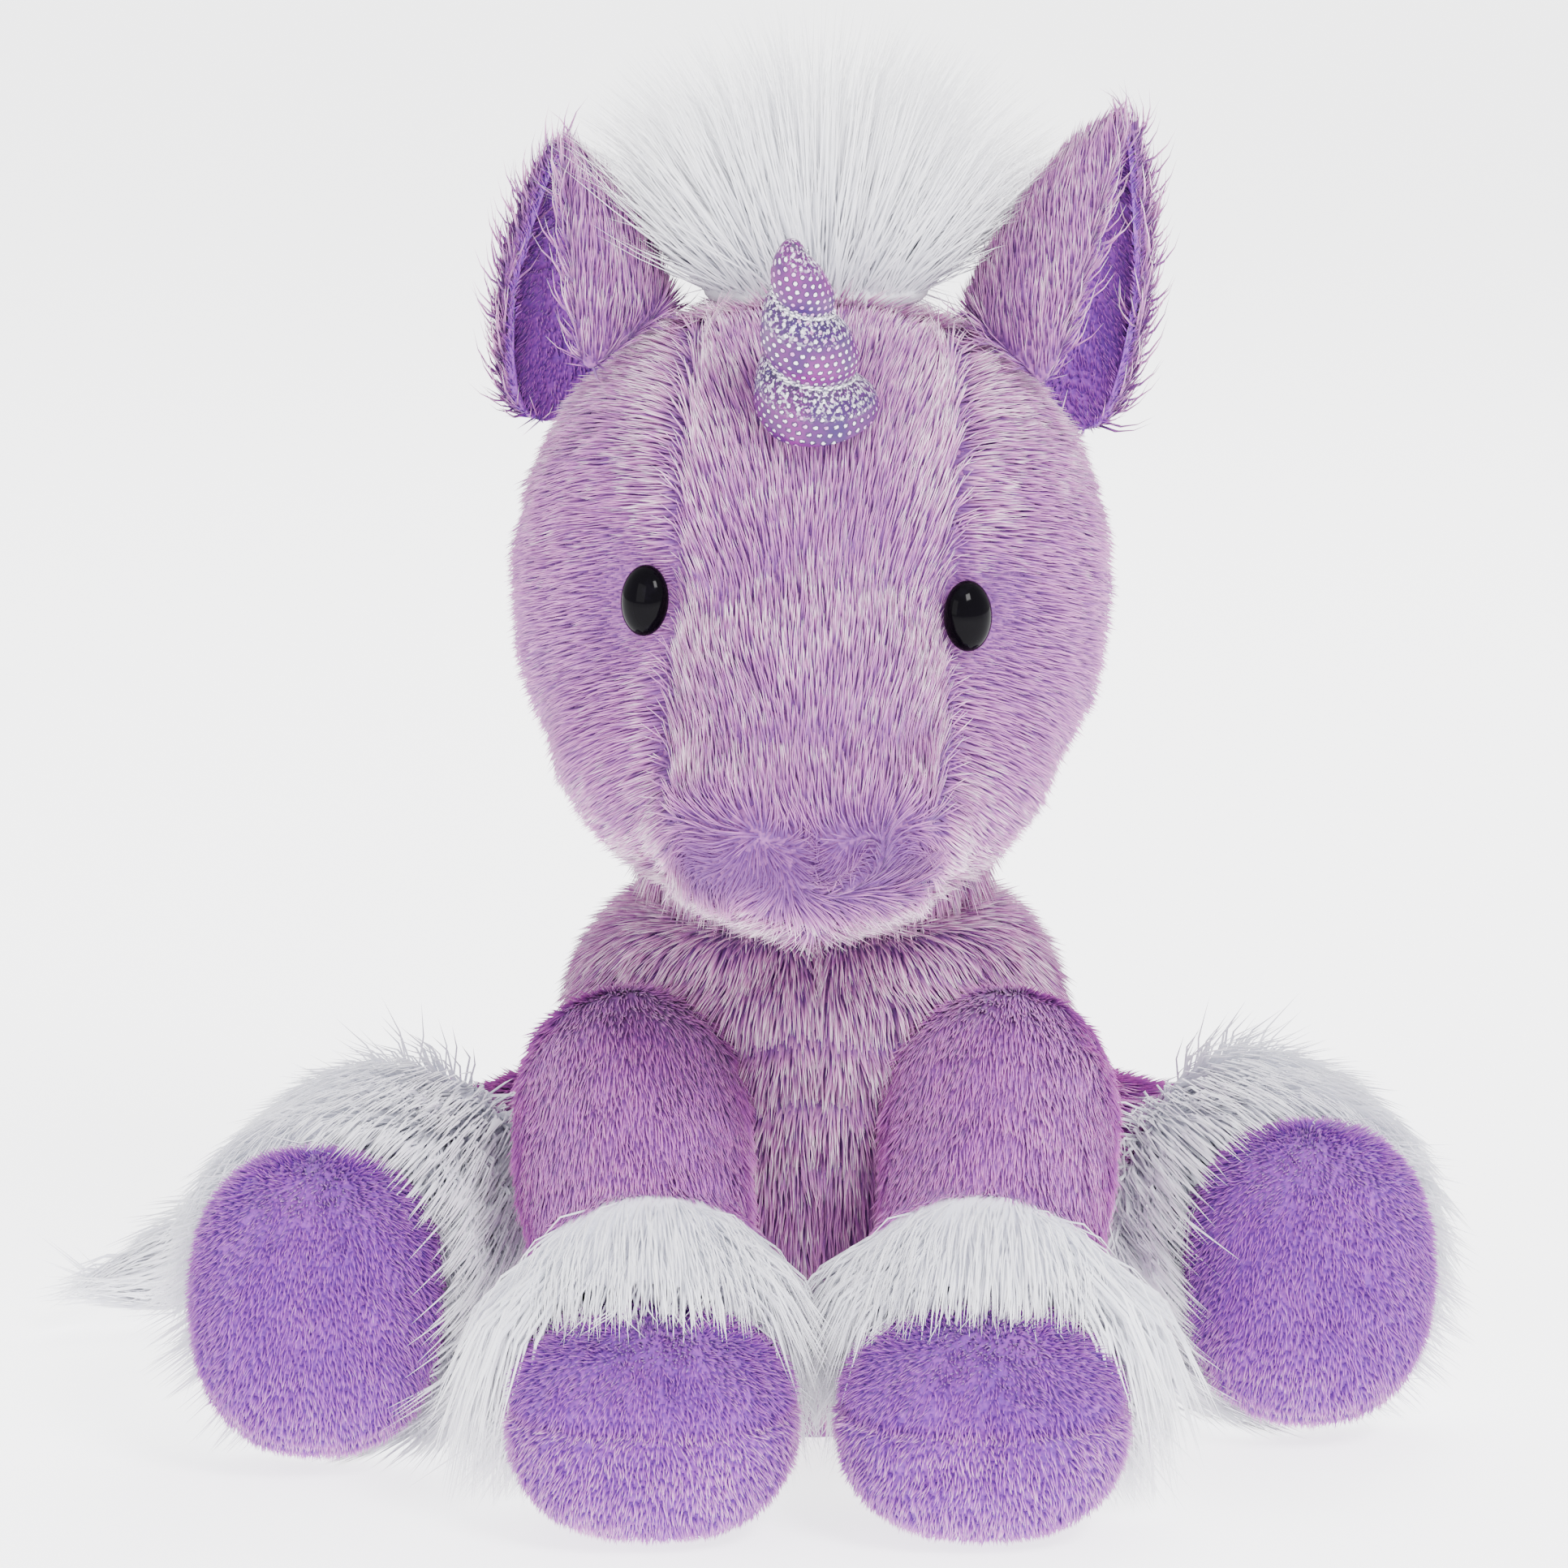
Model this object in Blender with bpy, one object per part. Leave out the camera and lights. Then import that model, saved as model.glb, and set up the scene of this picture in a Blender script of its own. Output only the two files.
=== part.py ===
# Plush unicorn, sitting, about 240 mm tall: sewn fabric covers over stuffing, each its own solid.
# Metres, +Z up; the toy faces -Y and its own left side is +X. The origin is the middle of the
# flat seat panel it sits on.
import math

import bpy
from mathutils import Matrix, Vector

MM = 0.001
GAP = 0.3 * MM                 # between neighbouring pieces
FABRIC = 1.8 * MM              # a cover's thickness, its backing and the root of its pile
PILE_BAND = 6.0 * MM           # the long-haired fabric, pile included

# Body: half widths, half depths and middle of each level, from the seat up
TORSO_LEVELS = (
    # z, half width, half depth, middle y
    (2.4, 42.0, 37.0, 22.0),
    (9.0, 48.0, 42.5, 22.0),
    (26.0, 51.0, 45.0, 22.0),
    (48.0, 50.0, 44.0, 20.0),
    (68.0, 46.0, 40.0, 17.0),
    (82.0, 42.5, 35.5, 14.0),
    (91.0, 37.0, 31.5, 12.0),
    (95.0, 29.0, 25.5, 12.0),
)
SEAT_HALF = (41.5 * MM, 36.5 * MM)
SEAT_MIDDLE_Y = 22.0 * MM
SEAT_THICK = 2.1 * MM
PELLETS_TOP = 25.0 * MM

NECK = Vector((0.0, 12.0, 105.0)) * MM        # the head turns and nods about this point
NECK_RADIUS = 30.0 * MM
NECK_BAND = 15.0 * MM                         # half height of the neck's cover

HEAD_ROLL = math.radians(2.6)                 # the head is sewn on slightly tilted
SKULL = Vector((-3.0, -5.0, 154.0)) * MM      # and leans a little to its right
SKULL_HALF = Vector((52.5, 48.0, 51.0)) * MM
SKULL_FULL = 2.15                             # 2 is an ellipsoid, more is squarer
CHEEKS = Vector((-3.4, -22.0, 131.0)) * MM
CHEEKS_HALF = Vector((45.0, 36.0, 30.0)) * MM
BRIDGE = Vector((-2.8, -37.0, 140.0)) * MM    # from between the eyes down onto the muzzle
BRIDGE_HALF = Vector((27.0, 31.0, 27.0)) * MM
MUZZLE = Vector((-2.4, -48.0, 121.0)) * MM
MUZZLE_HALF = Vector((28.0, 32.0, 19.5)) * MM
FACE_FULL = 2.1
GUSSET_HALF = 23.0 * MM                       # half width of the strip down the face
CHIN_TOP = 107.0 * MM
CHIN_BACK = -34.0 * MM
CHIN_SPLIT = 126.0 * MM                       # the side panels meet at the throat under this
THROAT_TOP = 130.0 * MM

EYES_X = -1.2 * MM                            # their middle beside the skull's
EYE_X = 27.4 * MM
EYE_Z = 157.5 * MM
EYE_HALF = Vector((4.4, 6.1, 3.0)) * MM       # across, up and out of the face
EYE_STAND = 1.2 * MM                          # the dome's middle above the fabric
EYE_BACK = 0.4 * MM                           # its flat back under its middle
SHANK_RADIUS = 1.6 * MM
SHANK_LENGTH = 9.0 * MM
WASHER_RADIUS = 6.0 * MM
WASHER_THICK = 1.5 * MM

HORN_BASE = Vector((-4.1, -40.0, 190.5)) * MM
HORN_TIP = Vector((-10.0, -56.0, 222.5)) * MM
HORN_RADIUS = 10.6 * MM
HORN_TIP_RADIUS = 0.6 * MM
HORN_SINK = 2.5 * MM
HORN_ROOM_LENGTH = 30.0 * MM
HORN_TURNS = 2.9
HORN_GROOVE = 0.16                            # how far the thread pulls the horn in, as a share
THREAD_RADIUS = 0.4 * MM
THREAD_CLEAR = 1.1 * MM                       # over the groove's floor
THREAD_STEPS = 52
THREAD_FROM = 0.02                            # shares of the horn's length
THREAD_TO = 0.88
SATIN_THICK = 1.1 * MM

EAR_BASES = {"left": Vector((40.0, 3.0, 178.0)) * MM, "right": Vector((-43.5, 3.0, 175.0)) * MM}
EAR_TIPS = {"left": Vector((52.5, 5.0, 240.0)) * MM, "right": Vector((-48.5, 5.0, 231.0)) * MM}
EAR_RADIUS = 24.0 * MM
EAR_FLAT = 0.85                               # the cup's depth as a share of its half width
EAR_BACK = Vector((-0.82, 0.57, 0.0))         # where the left ear's closed side faces
EAR_CUP = (math.radians(-100), math.radians(125))   # from its back edge round to its front flap
EAR_LEVELS = 8
EAR_STEPS = 10
EAR_BACK_WALL = (0.0, 2.0 * MM)               # each layer's two faces, in from the outside
EAR_LINING_WALL = (2.5 * MM, 4.2 * MM)
EAR_CLEAR = 4.0 * MM

SHOULDER = Vector((33.0, -19.0, 63.0)) * MM
SHOULDER_RADIUS = 21.0 * MM
FORE_ROUTE = ((33.0, -19.0, 63.0), (32.0, -36.0, 52.0), (30.0, -51.0, 41.0), (28.0, -66.0, 29.0))
FORE_RADII = (21.0, 20.5, 19.5, 18.0)
FORE_HOOF = Vector((28.5, -74.5, 20.4)) * MM
FORE_HOOF_HALF = Vector((25.0, 21.5, 19.9)) * MM
FORE_ANKLE = Vector((28.0, -60.0, 31.0)) * MM
CUFF_START = 40.0 * MM                        # along the leg from the shoulder

HIP = Vector((43.0, 34.0, 33.0)) * MM
HIP_RADIUS = 25.0 * MM
SOCKET_CLEAR = 4.0 * MM                       # round a limb's ball, room for the limb to swing
HOOF_FULL = 2.35
FORE_SEAM = (0.0, 3.0 * MM)                   # the seam's slope in degrees, and its rise over the middle
REAR_SEAM = (68.0, 0.0)
FORE_PILE = 3.2 * MM                          # how far the white band stands over the sleeve
REAR_ROUTES = {
    "right": ((-43.0, 34.0, 33.0), (-62.0, 24.0, 33.0), (-77.0, 7.0, 33.0), (-86.0, -22.0, 32.0)),
    "left": ((43.0, 34.0, 33.0), (63.0, 28.0, 33.0), (79.0, 16.0, 33.0), (87.0, -4.0, 32.0)),
}
REAR_RADII = (25.0, 21.0, 22.5, 21.5)
REAR_HOOFS = {"right": Vector((-88.5, -34.0, 30.5)) * MM, "left": Vector((88.5, -15.0, 31.0)) * MM}
REAR_HOOF_HALF = Vector((22.3, 18.5, 27.0)) * MM
REAR_PILE_START = 30.0 * MM
ANKLE_BACK = 16.0 * MM                        # how far behind a rear hoof's middle it flexes
HOOF_CLEAR = 4.0 * MM

TAIL_ROOT = Vector((0.0, 69.0, 30.0)) * MM
TAIL_ROUTE = ((-3.0, 73.0, 30.0), (-18.0, 84.0, 24.0), (-45.0, 93.0, 14.5), (-80.0, 92.0, 12.0),
              (-110.0, 80.0, 10.5), (-129.0, 66.0, 9.0))
TAIL_RADII = (5.0, 8.0, 11.5, 11.0, 8.5, 3.0)

FORELOCK_X = -4.5
FORELOCK_LEVELS = (
    # z, half width, half depth, middle y
    (206, 19, 8, 2),
    (214, 24, 11, 3),
    (226, 27, 12, 5),
    (238, 24, 10, 8),
    (246, 12, 5, 9),
)
MANE_ANGLES = (22, 38, 54, 70, 86, 102, 116)  # degrees over the skull, from the crown back
MANE_HALF = 11.0 * MM
MANE_HIGH = 9.0 * MM
MANE_END_HIGH = 5.0 * MM
MANE_CLEAR = 1.5 * MM

LABEL_LOW = Vector((-7.0, 66.6, 40.0)) * MM
LABEL_HIGH = Vector((7.0, 67.3, 62.0)) * MM
FAR = 300.0 * MM                              # past everything, for cutters

LAVENDER = (0.60, 0.38, 0.66)
LILAC = (0.50, 0.27, 0.60)
PURPLE = (0.34, 0.15, 0.52)
WHITE = (0.88, 0.89, 0.95)


def clear_scene():
    for ob in list(bpy.data.objects):
        bpy.data.objects.remove(ob)


def material(name, colour, roughness, metallic=0.0):
    mat = bpy.data.materials.new(name)
    mat.use_nodes = True
    shader = mat.node_tree.nodes["Principled BSDF"]
    shader.inputs["Base Color"].default_value = (*colour, 1.0)
    shader.inputs["Roughness"].default_value = roughness
    shader.inputs["Metallic"].default_value = metallic
    return mat


def mesh_object(name, points, faces):
    mesh = bpy.data.meshes.new(name)
    mesh.from_pydata([tuple(p) for p in points], [], faces)
    mesh.update()
    ob = bpy.data.objects.new(name, mesh)
    bpy.context.collection.objects.link(ob)
    return ob


def loft(name, rings):
    """A closed solid through rings of equal count, with a flat face over each end."""
    count = len(rings[0])
    points = [p for ring in rings for p in ring]
    faces = [list(range(count))[::-1]]
    for level in range(len(rings) - 1):
        low = level * count
        for i in range(count):
            j = (i + 1) % count
            faces.append([low + i, low + j, low + count + j, low + count + i])
    last = (len(rings) - 1) * count
    faces.append(list(range(last, last + count)))
    return mesh_object(name, points, faces)


def signed_power(value, power):
    return math.copysign(abs(value) ** power, value)


def rounded(name, middle, half, sides=16, levels=9, fullness=2.2):
    """An ellipsoid, slightly squared where fullness is over 2."""
    power = 2.0 / fullness
    rings = []
    for level in range(levels):
        lat = math.pi * ((level + 0.35) / (levels - 0.3) - 0.5)
        ring = []
        for i in range(sides):
            turn = 2 * math.pi * i / sides
            across = signed_power(math.cos(lat), power)
            ring.append(middle + Vector((
                half.x * across * signed_power(math.cos(turn), power),
                half.y * across * signed_power(math.sin(turn), power),
                half.z * signed_power(math.sin(lat), power),
            )))
        rings.append(ring)
    return loft(name, rings)


def ball(name, middle, radius, sides=16, levels=10):
    return rounded(name, middle, Vector((radius, radius, radius)), sides, levels, 2.0)


def block(name, low, high):
    corners = [Vector((x, y, z)) for z in (low[2], high[2]) for y in (low[1], high[1])
               for x in (low[0], high[0])]
    faces = [[0, 2, 3, 1], [4, 5, 7, 6], [0, 1, 5, 4], [2, 6, 7, 3], [0, 4, 6, 2], [1, 3, 7, 5]]
    return mesh_object(name, corners, faces)


def cylinder(name, start, along, radius, length, sides=12):
    axis = along.normalized()
    side = axis.orthogonal().normalized()
    other = axis.cross(side)
    rings = []
    for step in (0.0, length):
        rings.append([start + axis * step + radius * (
            side * math.cos(2 * math.pi * i / sides) + other * math.sin(2 * math.pi * i / sides))
            for i in range(sides)])
    return loft(name, rings)


def route_stations(route, radii):
    """Middle, direction and radius at each point of a route given in millimetres."""
    points = [Vector(p) * MM for p in route]
    stations = []
    for i, point in enumerate(points):
        before = points[max(i - 1, 0)]
        after = points[min(i + 1, len(points) - 1)]
        stations.append((point, (after - before).normalized(), radii[i] * MM))
    return stations


def tube(name, stations, grow=0.0, sides=14, round_start=True, taller=0.0, end_grow=None):
    """A soft limb along stations: a ball at its start, then a ring at each station."""
    end_grow = grow if end_grow is None else end_grow
    rings = []

    def ring(middle, along, radius, up_radius):
        side = Vector((0, 0, 1)).cross(along).normalized()
        up = along.cross(side)
        return [middle + side * radius * math.cos(2 * math.pi * i / sides)
                + up * up_radius * math.sin(2 * math.pi * i / sides) for i in range(sides)]

    middle, along, radius = stations[0]
    if round_start:
        for angle in (12, 35, 60):
            turn = math.radians(angle)
            r = (radius + grow) * math.sin(turn)
            rings.append(ring(middle - along * (radius + grow) * math.cos(turn), along, r, r))
    for point, direction, radius in stations:
        rings.append(ring(point, direction, radius + grow, radius + grow + taller))
    point, direction, radius = stations[-1]
    rings.append(ring(point + direction * (3 * MM + end_grow), direction,
                      (radius + grow) * 0.8, (radius + grow + taller) * 0.8))
    ob = loft(name, rings)
    return ob


def drop(*objects):
    for ob in objects:
        bpy.data.objects.remove(ob)


def carve(ob, cutter, how="DIFFERENCE", keep_cutter=False):
    """Cuts, joins or crosses ob with cutter and leaves the result in ob's own mesh."""
    mod = ob.modifiers.new("cut", "BOOLEAN")
    mod.operation = how
    mod.solver = "EXACT"
    mod.object = cutter
    graph = bpy.context.evaluated_depsgraph_get()
    result = bpy.data.meshes.new_from_object(ob.evaluated_get(graph))
    ob.modifiers.clear()
    ob.data = result
    if not keep_cutter:
        drop(cutter)
    return ob


def copy_of(ob, name):
    twin = bpy.data.objects.new(name, ob.data.copy())
    bpy.context.collection.objects.link(twin)
    return twin


def turned(ob, pivot, axis, degrees):
    """Turns the mesh itself about an axis through pivot."""
    turn = Matrix.Rotation(math.radians(degrees), 4, axis)
    ob.data.transform(Matrix.Translation(pivot) @ turn @ Matrix.Translation(-pivot))
    return ob


def mirrored(points):
    return [(-x, y, z) for x, y, z in points]


def side_sign(side):
    return 1.0 if side == "left" else -1.0


def flip(vector, side):
    return Vector((vector.x * side_sign(side), vector.y, vector.z))


def rolled(point):
    """A point of the upright head, where the tilted head holds it."""
    return NECK + Matrix.Rotation(HEAD_ROLL, 3, "Y") @ (point - NECK)


class Body:
    """Pieces that move together, parented to an empty on their joint."""

    def __init__(self, name, pivot):
        self.pivot = pivot
        self.empty = bpy.data.objects.new(name + "_joint", None)
        self.empty.location = pivot
        bpy.context.collection.objects.link(self.empty)

    def add(self, ob, name, mat):
        ob.name = name
        ob.data.name = name
        ob.data.transform(Matrix.Translation(-self.pivot))
        ob.data.materials.clear()
        ob.data.materials.append(mat)
        for face in ob.data.polygons:
            face.material_index = 0
        ob.parent = self.empty
        ob.data.shade_smooth()
        ob.data.set_sharp_from_angle(angle=math.radians(40))
        return ob


# Limbs' routes, and the room that the torso leaves them

def fore_stations(side):
    route = FORE_ROUTE if side == "left" else mirrored(FORE_ROUTE)
    return route_stations(route, FORE_RADII)


def rear_stations(side):
    return route_stations(REAR_ROUTES[side], REAR_RADII)


def limb_room(side):
    """The sockets that the limbs on one side swing in."""
    return [ball("room", flip(SHOULDER, side), SHOULDER_RADIUS + SOCKET_CLEAR, 16, 9),
            ball("room", flip(HIP, side), HIP_RADIUS + SOCKET_CLEAR, 16, 9)]


# Torso

def torso_form(name, shrink=0.0):
    rings = []
    for z, half_width, half_depth, middle in TORSO_LEVELS:
        ring = []
        for i in range(20):
            turn = 2 * math.pi * (i + 0.5) / 20
            ring.append(Vector((
                (half_width * MM - shrink) * math.cos(turn),
                middle * MM + (half_depth * MM - shrink) * math.sin(turn),
                z * MM)))
        rings.append(ring)
    if shrink:
        lift = Vector((0, 0, shrink))
        rings[0] = [p + lift for p in rings[0]]
        rings[-1] = [p - lift for p in rings[-1]]
    return loft(name, rings)


def make_torso(fur, bag, stuffing, plain):
    body = Body("torso", Vector((0, 0, 0)))
    neck = ball("neck_room", NECK, NECK_RADIUS + 2 * GAP)
    room = [neck] + limb_room("left") + limb_room("right")

    def open_for_limbs(ob):
        for cutter in room:
            carve(ob, cutter, keep_cutter=True)
        return ob

    shell = carve(torso_form("shell"), torso_form("hollow", FABRIC))
    open_for_limbs(shell)
    for side in ("left", "right"):
        half = copy_of(shell, "half")
        low, high = (GAP / 2, FAR) if side == "left" else (-FAR, -GAP / 2)
        carve(half, block("keep", (low, -FAR, -FAR), (high, FAR, FAR)), "INTERSECT")
        body.add(half, "torso_side_" + side, fur)
    drop(shell)

    core = torso_form("core", FABRIC + GAP)
    open_for_limbs(core)
    pellets = copy_of(core, "pellets")
    carve(core, block("under", (-FAR, -FAR, -FAR), (FAR, FAR, PELLETS_TOP + GAP)))
    carve(pellets, block("over", (-FAR, -FAR, PELLETS_TOP), (FAR, FAR, FAR)))
    body.add(core, "torso_stuffing", stuffing)
    body.add(pellets, "pellet_bag", bag)
    drop(*room)

    rings = []
    for z in (0.0, SEAT_THICK):
        rings.append([Vector((SEAT_HALF[0] * math.cos(math.pi * i / 12),
                              SEAT_MIDDLE_Y + SEAT_HALF[1] * math.sin(math.pi * i / 12), z))
                      for i in range(24)])
    body.add(loft("seat", rings), "seat_panel", fur)

    body.add(block("label", LABEL_LOW, LABEL_HIGH), "care_label", plain)


# Neck

def make_neck(fur, stuffing):
    body = Body("neck", NECK)
    body.add(ball("core", NECK, NECK_RADIUS - FABRIC - GAP), "neck_stuffing", stuffing)
    cover = ball("cover", NECK, NECK_RADIUS)
    carve(cover, ball("inside", NECK, NECK_RADIUS - FABRIC))
    carve(cover, block("band", (-FAR, -FAR, NECK.z - NECK_BAND), (FAR, FAR, NECK.z + NECK_BAND)),
          "INTERSECT")
    body.add(cover, "neck_cover", fur)


# Head

def head_form(name, shrink=0.0):
    less = Vector((shrink, shrink, shrink))
    form = rounded(name, SKULL, SKULL_HALF - less, 20, 11, SKULL_FULL)
    for middle, half in ((CHEEKS, CHEEKS_HALF), (BRIDGE, BRIDGE_HALF), (MUZZLE, MUZZLE_HALF)):
        carve(form, rounded("part", middle, half - less, 16, 9, FACE_FULL), "UNION")
    return form


def eye_place(side):
    """The eye's point on the skull and the way it faces."""
    beside = EYES_X + side_sign(side) * EYE_X
    shares = [beside / SKULL_HALF.x, 0.0, (EYE_Z - SKULL.z) / SKULL_HALF.z]
    shares[1] = -(1 - sum(abs(share) ** SKULL_FULL for share in shares)) ** (1 / SKULL_FULL)
    y = SKULL.y + SKULL_HALF.y * shares[1]
    slopes = [signed_power(share, SKULL_FULL - 1) / half for share, half in zip(shares, SKULL_HALF)]
    return Vector((SKULL.x + beside, y, EYE_Z)), Vector(slopes).normalized()


def make_head(fur, stuffing, hair, eye, washer, satin, thread):
    body = Body("head", NECK)
    socket = ball("socket", NECK, NECK_RADIUS + 2 * GAP)

    def finish(ob, name, mat):
        turned(ob, NECK, "Y", math.degrees(HEAD_ROLL))
        body.add(ob, name, mat)

    shell = carve(head_form("shell"), head_form("hollow", FABRIC))
    carve(shell, socket, keep_cutter=True)
    core = head_form("core", FABRIC + GAP)
    carve(core, socket)
    for side in ("left", "right"):
        point, out = eye_place(side)
        inward = -out
        hole = cylinder("hole", point + out * 8 * MM, inward, SHANK_RADIUS + GAP, 30 * MM)
        carve(shell, hole)
        start = point + inward * (FABRIC + 0.2 * MM)
        carve(core, cylinder("pocket", point + out * 2 * MM, inward, WASHER_RADIUS + GAP,
                             SHANK_LENGTH + 4 * MM, 16))
        ring = cylinder("ring", start + inward * 2.2 * MM, inward, WASHER_RADIUS, WASHER_THICK, 16)
        carve(ring, cylinder("bore", start + out * 3 * MM, inward, SHANK_RADIUS + GAP, 20 * MM))
        finish(ring, "eye_washer_" + side, washer)
        dome = rounded("dome", Vector((0, 0, 0)), EYE_HALF, 14, 8, 2.0)
        carve(dome, block("back", (-FAR, -FAR, -FAR), (FAR, FAR, -EYE_BACK)))
        right = Vector((0, 0, 1)).cross(out).normalized()
        up = out.cross(right)
        frame = Matrix((right, up, out)).transposed().to_4x4()
        dome.data.transform(Matrix.Translation(point + out * EYE_STAND) @ frame)
        carve(dome, cylinder("shank", point + out * 2 * MM, inward, SHANK_RADIUS, SHANK_LENGTH), "UNION")
        finish(dome, "eye_" + side, eye)

    half = GAP / 2
    strip_low = SKULL.x - GUSSET_HALF
    strip_high = SKULL.x + GUSSET_HALF
    chin = copy_of(shell, "chin")
    carve(chin, block("keep", (strip_low + half, -FAR, -FAR), (strip_high - half, CHIN_BACK, CHIN_TOP)),
          "INTERSECT")
    gusset = copy_of(shell, "gusset")
    carve(gusset, block("keep", (strip_low + half, -FAR, -FAR), (strip_high - half, SKULL.y, FAR)),
          "INTERSECT")
    carve(gusset, block("chin", (-FAR, -FAR, -FAR), (FAR, CHIN_BACK + GAP, CHIN_TOP + GAP)))
    carve(gusset, block("throat", (-FAR, CHIN_BACK, -FAR), (FAR, FAR, THROAT_TOP)))
    carve(gusset, horn_room())
    finish(chin, "chin_panel", fur)
    finish(gusset, "face_gusset", fur)
    for side in ("left", "right"):
        part = copy_of(shell, "part")
        low, high = (SKULL.x + half, FAR) if side == "left" else (-FAR, SKULL.x - half)
        carve(part, block("keep", (low, -FAR, -FAR), (high, FAR, FAR)), "INTERSECT")
        carve(part, block("strip", (strip_low - half, -FAR, CHIN_SPLIT - MM),
                          (strip_high + half, SKULL.y + GAP, FAR)))
        carve(part, block("strip", (strip_low - half, -FAR, -FAR),
                          (strip_high + half, CHIN_BACK + GAP, CHIN_SPLIT)))
        finish(part, "head_side_" + side, fur)
    drop(shell)
    carve(core, horn_room())
    finish(core, "head_stuffing", stuffing)

    make_horn(finish, satin, stuffing, thread)
    make_hair(finish, hair)


# Horn

def horn_frame():
    along = (HORN_TIP - HORN_BASE).normalized()
    side = along.cross(Vector((0, 1, 0))).normalized()
    return along, side, along.cross(side)


def horn_radius(part, turn, pull=None):
    """Radius at a share of the length, pulled in along a winding groove."""
    taper = HORN_RADIUS * (1 - part) ** 0.75 * (1 - 0.1 * part)
    if pull is None:
        phase = (part * HORN_TURNS + turn / (2 * math.pi)) % 1.0
        pull = max(0.0, 1 - min(phase, 1 - phase) / 0.22)
    return taper * (1 - HORN_GROOVE * pull ** 1.5) + HORN_TIP_RADIUS


def horn_point(part, turn, grow):
    along, side, other = horn_frame()
    length = (HORN_TIP - HORN_BASE).length
    radius = max(horn_radius(part, turn) + grow, 0.3 * MM)
    return HORN_BASE + along * length * part + radius * (side * math.cos(turn) + other * math.sin(turn))


def horn_form(name, grow=0.0, top=0.99, bottom=0.0, sides=14, levels=15):
    rings = []
    for level in range(levels):
        part = bottom + (top - bottom) * level / (levels - 1)
        rings.append([horn_point(part, 2 * math.pi * i / sides, grow) for i in range(sides)])
    return loft(name, rings)


def horn_core(name, grow, longer):
    """A plain taper inside the winding groove."""
    along = horn_frame()[0]
    length = (HORN_TIP - HORN_BASE).length
    stations = []
    for share in (0.0, 0.3, 0.6, 0.82):
        radius = horn_radius(share, 0.0, 1.0) - SATIN_THICK
        stations.append((HORN_BASE + along * length * share, along, radius))
    return tube(name, stations, grow, sides=12, round_start=False, end_grow=longer)


def horn_room():
    """The room that the face and its filling leave the horn's foot."""
    along = horn_frame()[0]
    radius = HORN_RADIUS + HORN_TIP_RADIUS + 2.4 * GAP
    return cylinder("horn_room", HORN_BASE - along * HORN_SINK, along, radius, HORN_ROOM_LENGTH, 16)


def make_horn(finish, satin, stuffing, thread):
    shell = horn_form("shell")
    along = horn_frame()[0]
    hollow = horn_core("hollow", 0.0, 2 * MM)
    hollow.data.transform(Matrix.Translation(-along * MM))
    carve(shell, hollow)
    finish(shell, "horn_shell", satin)
    finish(horn_core("core", -2 * GAP, 0.0), "horn_stuffing", stuffing)
    points = []
    for step in range(THREAD_STEPS + 1):
        part = THREAD_FROM + (THREAD_TO - THREAD_FROM) * step / THREAD_STEPS
        turn = -2 * math.pi * part * HORN_TURNS
        points.append(horn_point(part, turn, THREAD_RADIUS + THREAD_CLEAR))
    rings = []
    for i, point in enumerate(points):
        ahead = (points[min(i + 1, THREAD_STEPS)] - points[max(i - 1, 0)]).normalized()
        side = ahead.cross(along).normalized()
        other = ahead.cross(side)
        rings.append([point + side * THREAD_RADIUS, point + other * THREAD_RADIUS,
                      point - side * THREAD_RADIUS, point - other * THREAD_RADIUS])
    finish(loft("thread", rings), "horn_thread", thread)


# Hair

def make_hair(finish, hair):
    """The forelock standing between the ears, and the mane down the back of the head."""
    rings = []
    for z, half_width, half_depth, middle in FORELOCK_LEVELS:
        rings.append([Vector((FORELOCK_X + half_width * math.cos(math.pi * i / 8),
                              middle + half_depth * math.sin(math.pi * i / 8), z)) * MM
                      for i in range(16)])
    tuft = loft("tuft", rings)
    carve(tuft, rounded("crown", SKULL, SKULL_HALF + Vector((GAP, GAP, GAP)) * 2, 20, 11, SKULL_FULL))
    finish(tuft, "forelock", hair)
    rings = []
    for degrees in MANE_ANGLES:
        turn = math.radians(degrees)
        out = Vector((0, math.sin(turn), math.cos(turn)))
        foot = SKULL + Vector((0, SKULL_HALF.y * out.y, SKULL_HALF.z * out.z)) + out * MANE_CLEAR
        high = MANE_END_HIGH if degrees in (MANE_ANGLES[0], MANE_ANGLES[-1]) else MANE_HIGH
        rings.append([foot + out * high * rise + Vector((MANE_HALF * wide, 0, 0))
                      for wide, rise in ((-1, 0), (-0.7, 0.7), (0, 1), (0.7, 0.7), (1, 0))])
    finish(loft("strip", rings), "mane", hair)


# Ears

def on_head(vector):
    """A point given beside the skull's middle plane."""
    return vector + Vector((SKULL.x, 0, 0))


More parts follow.
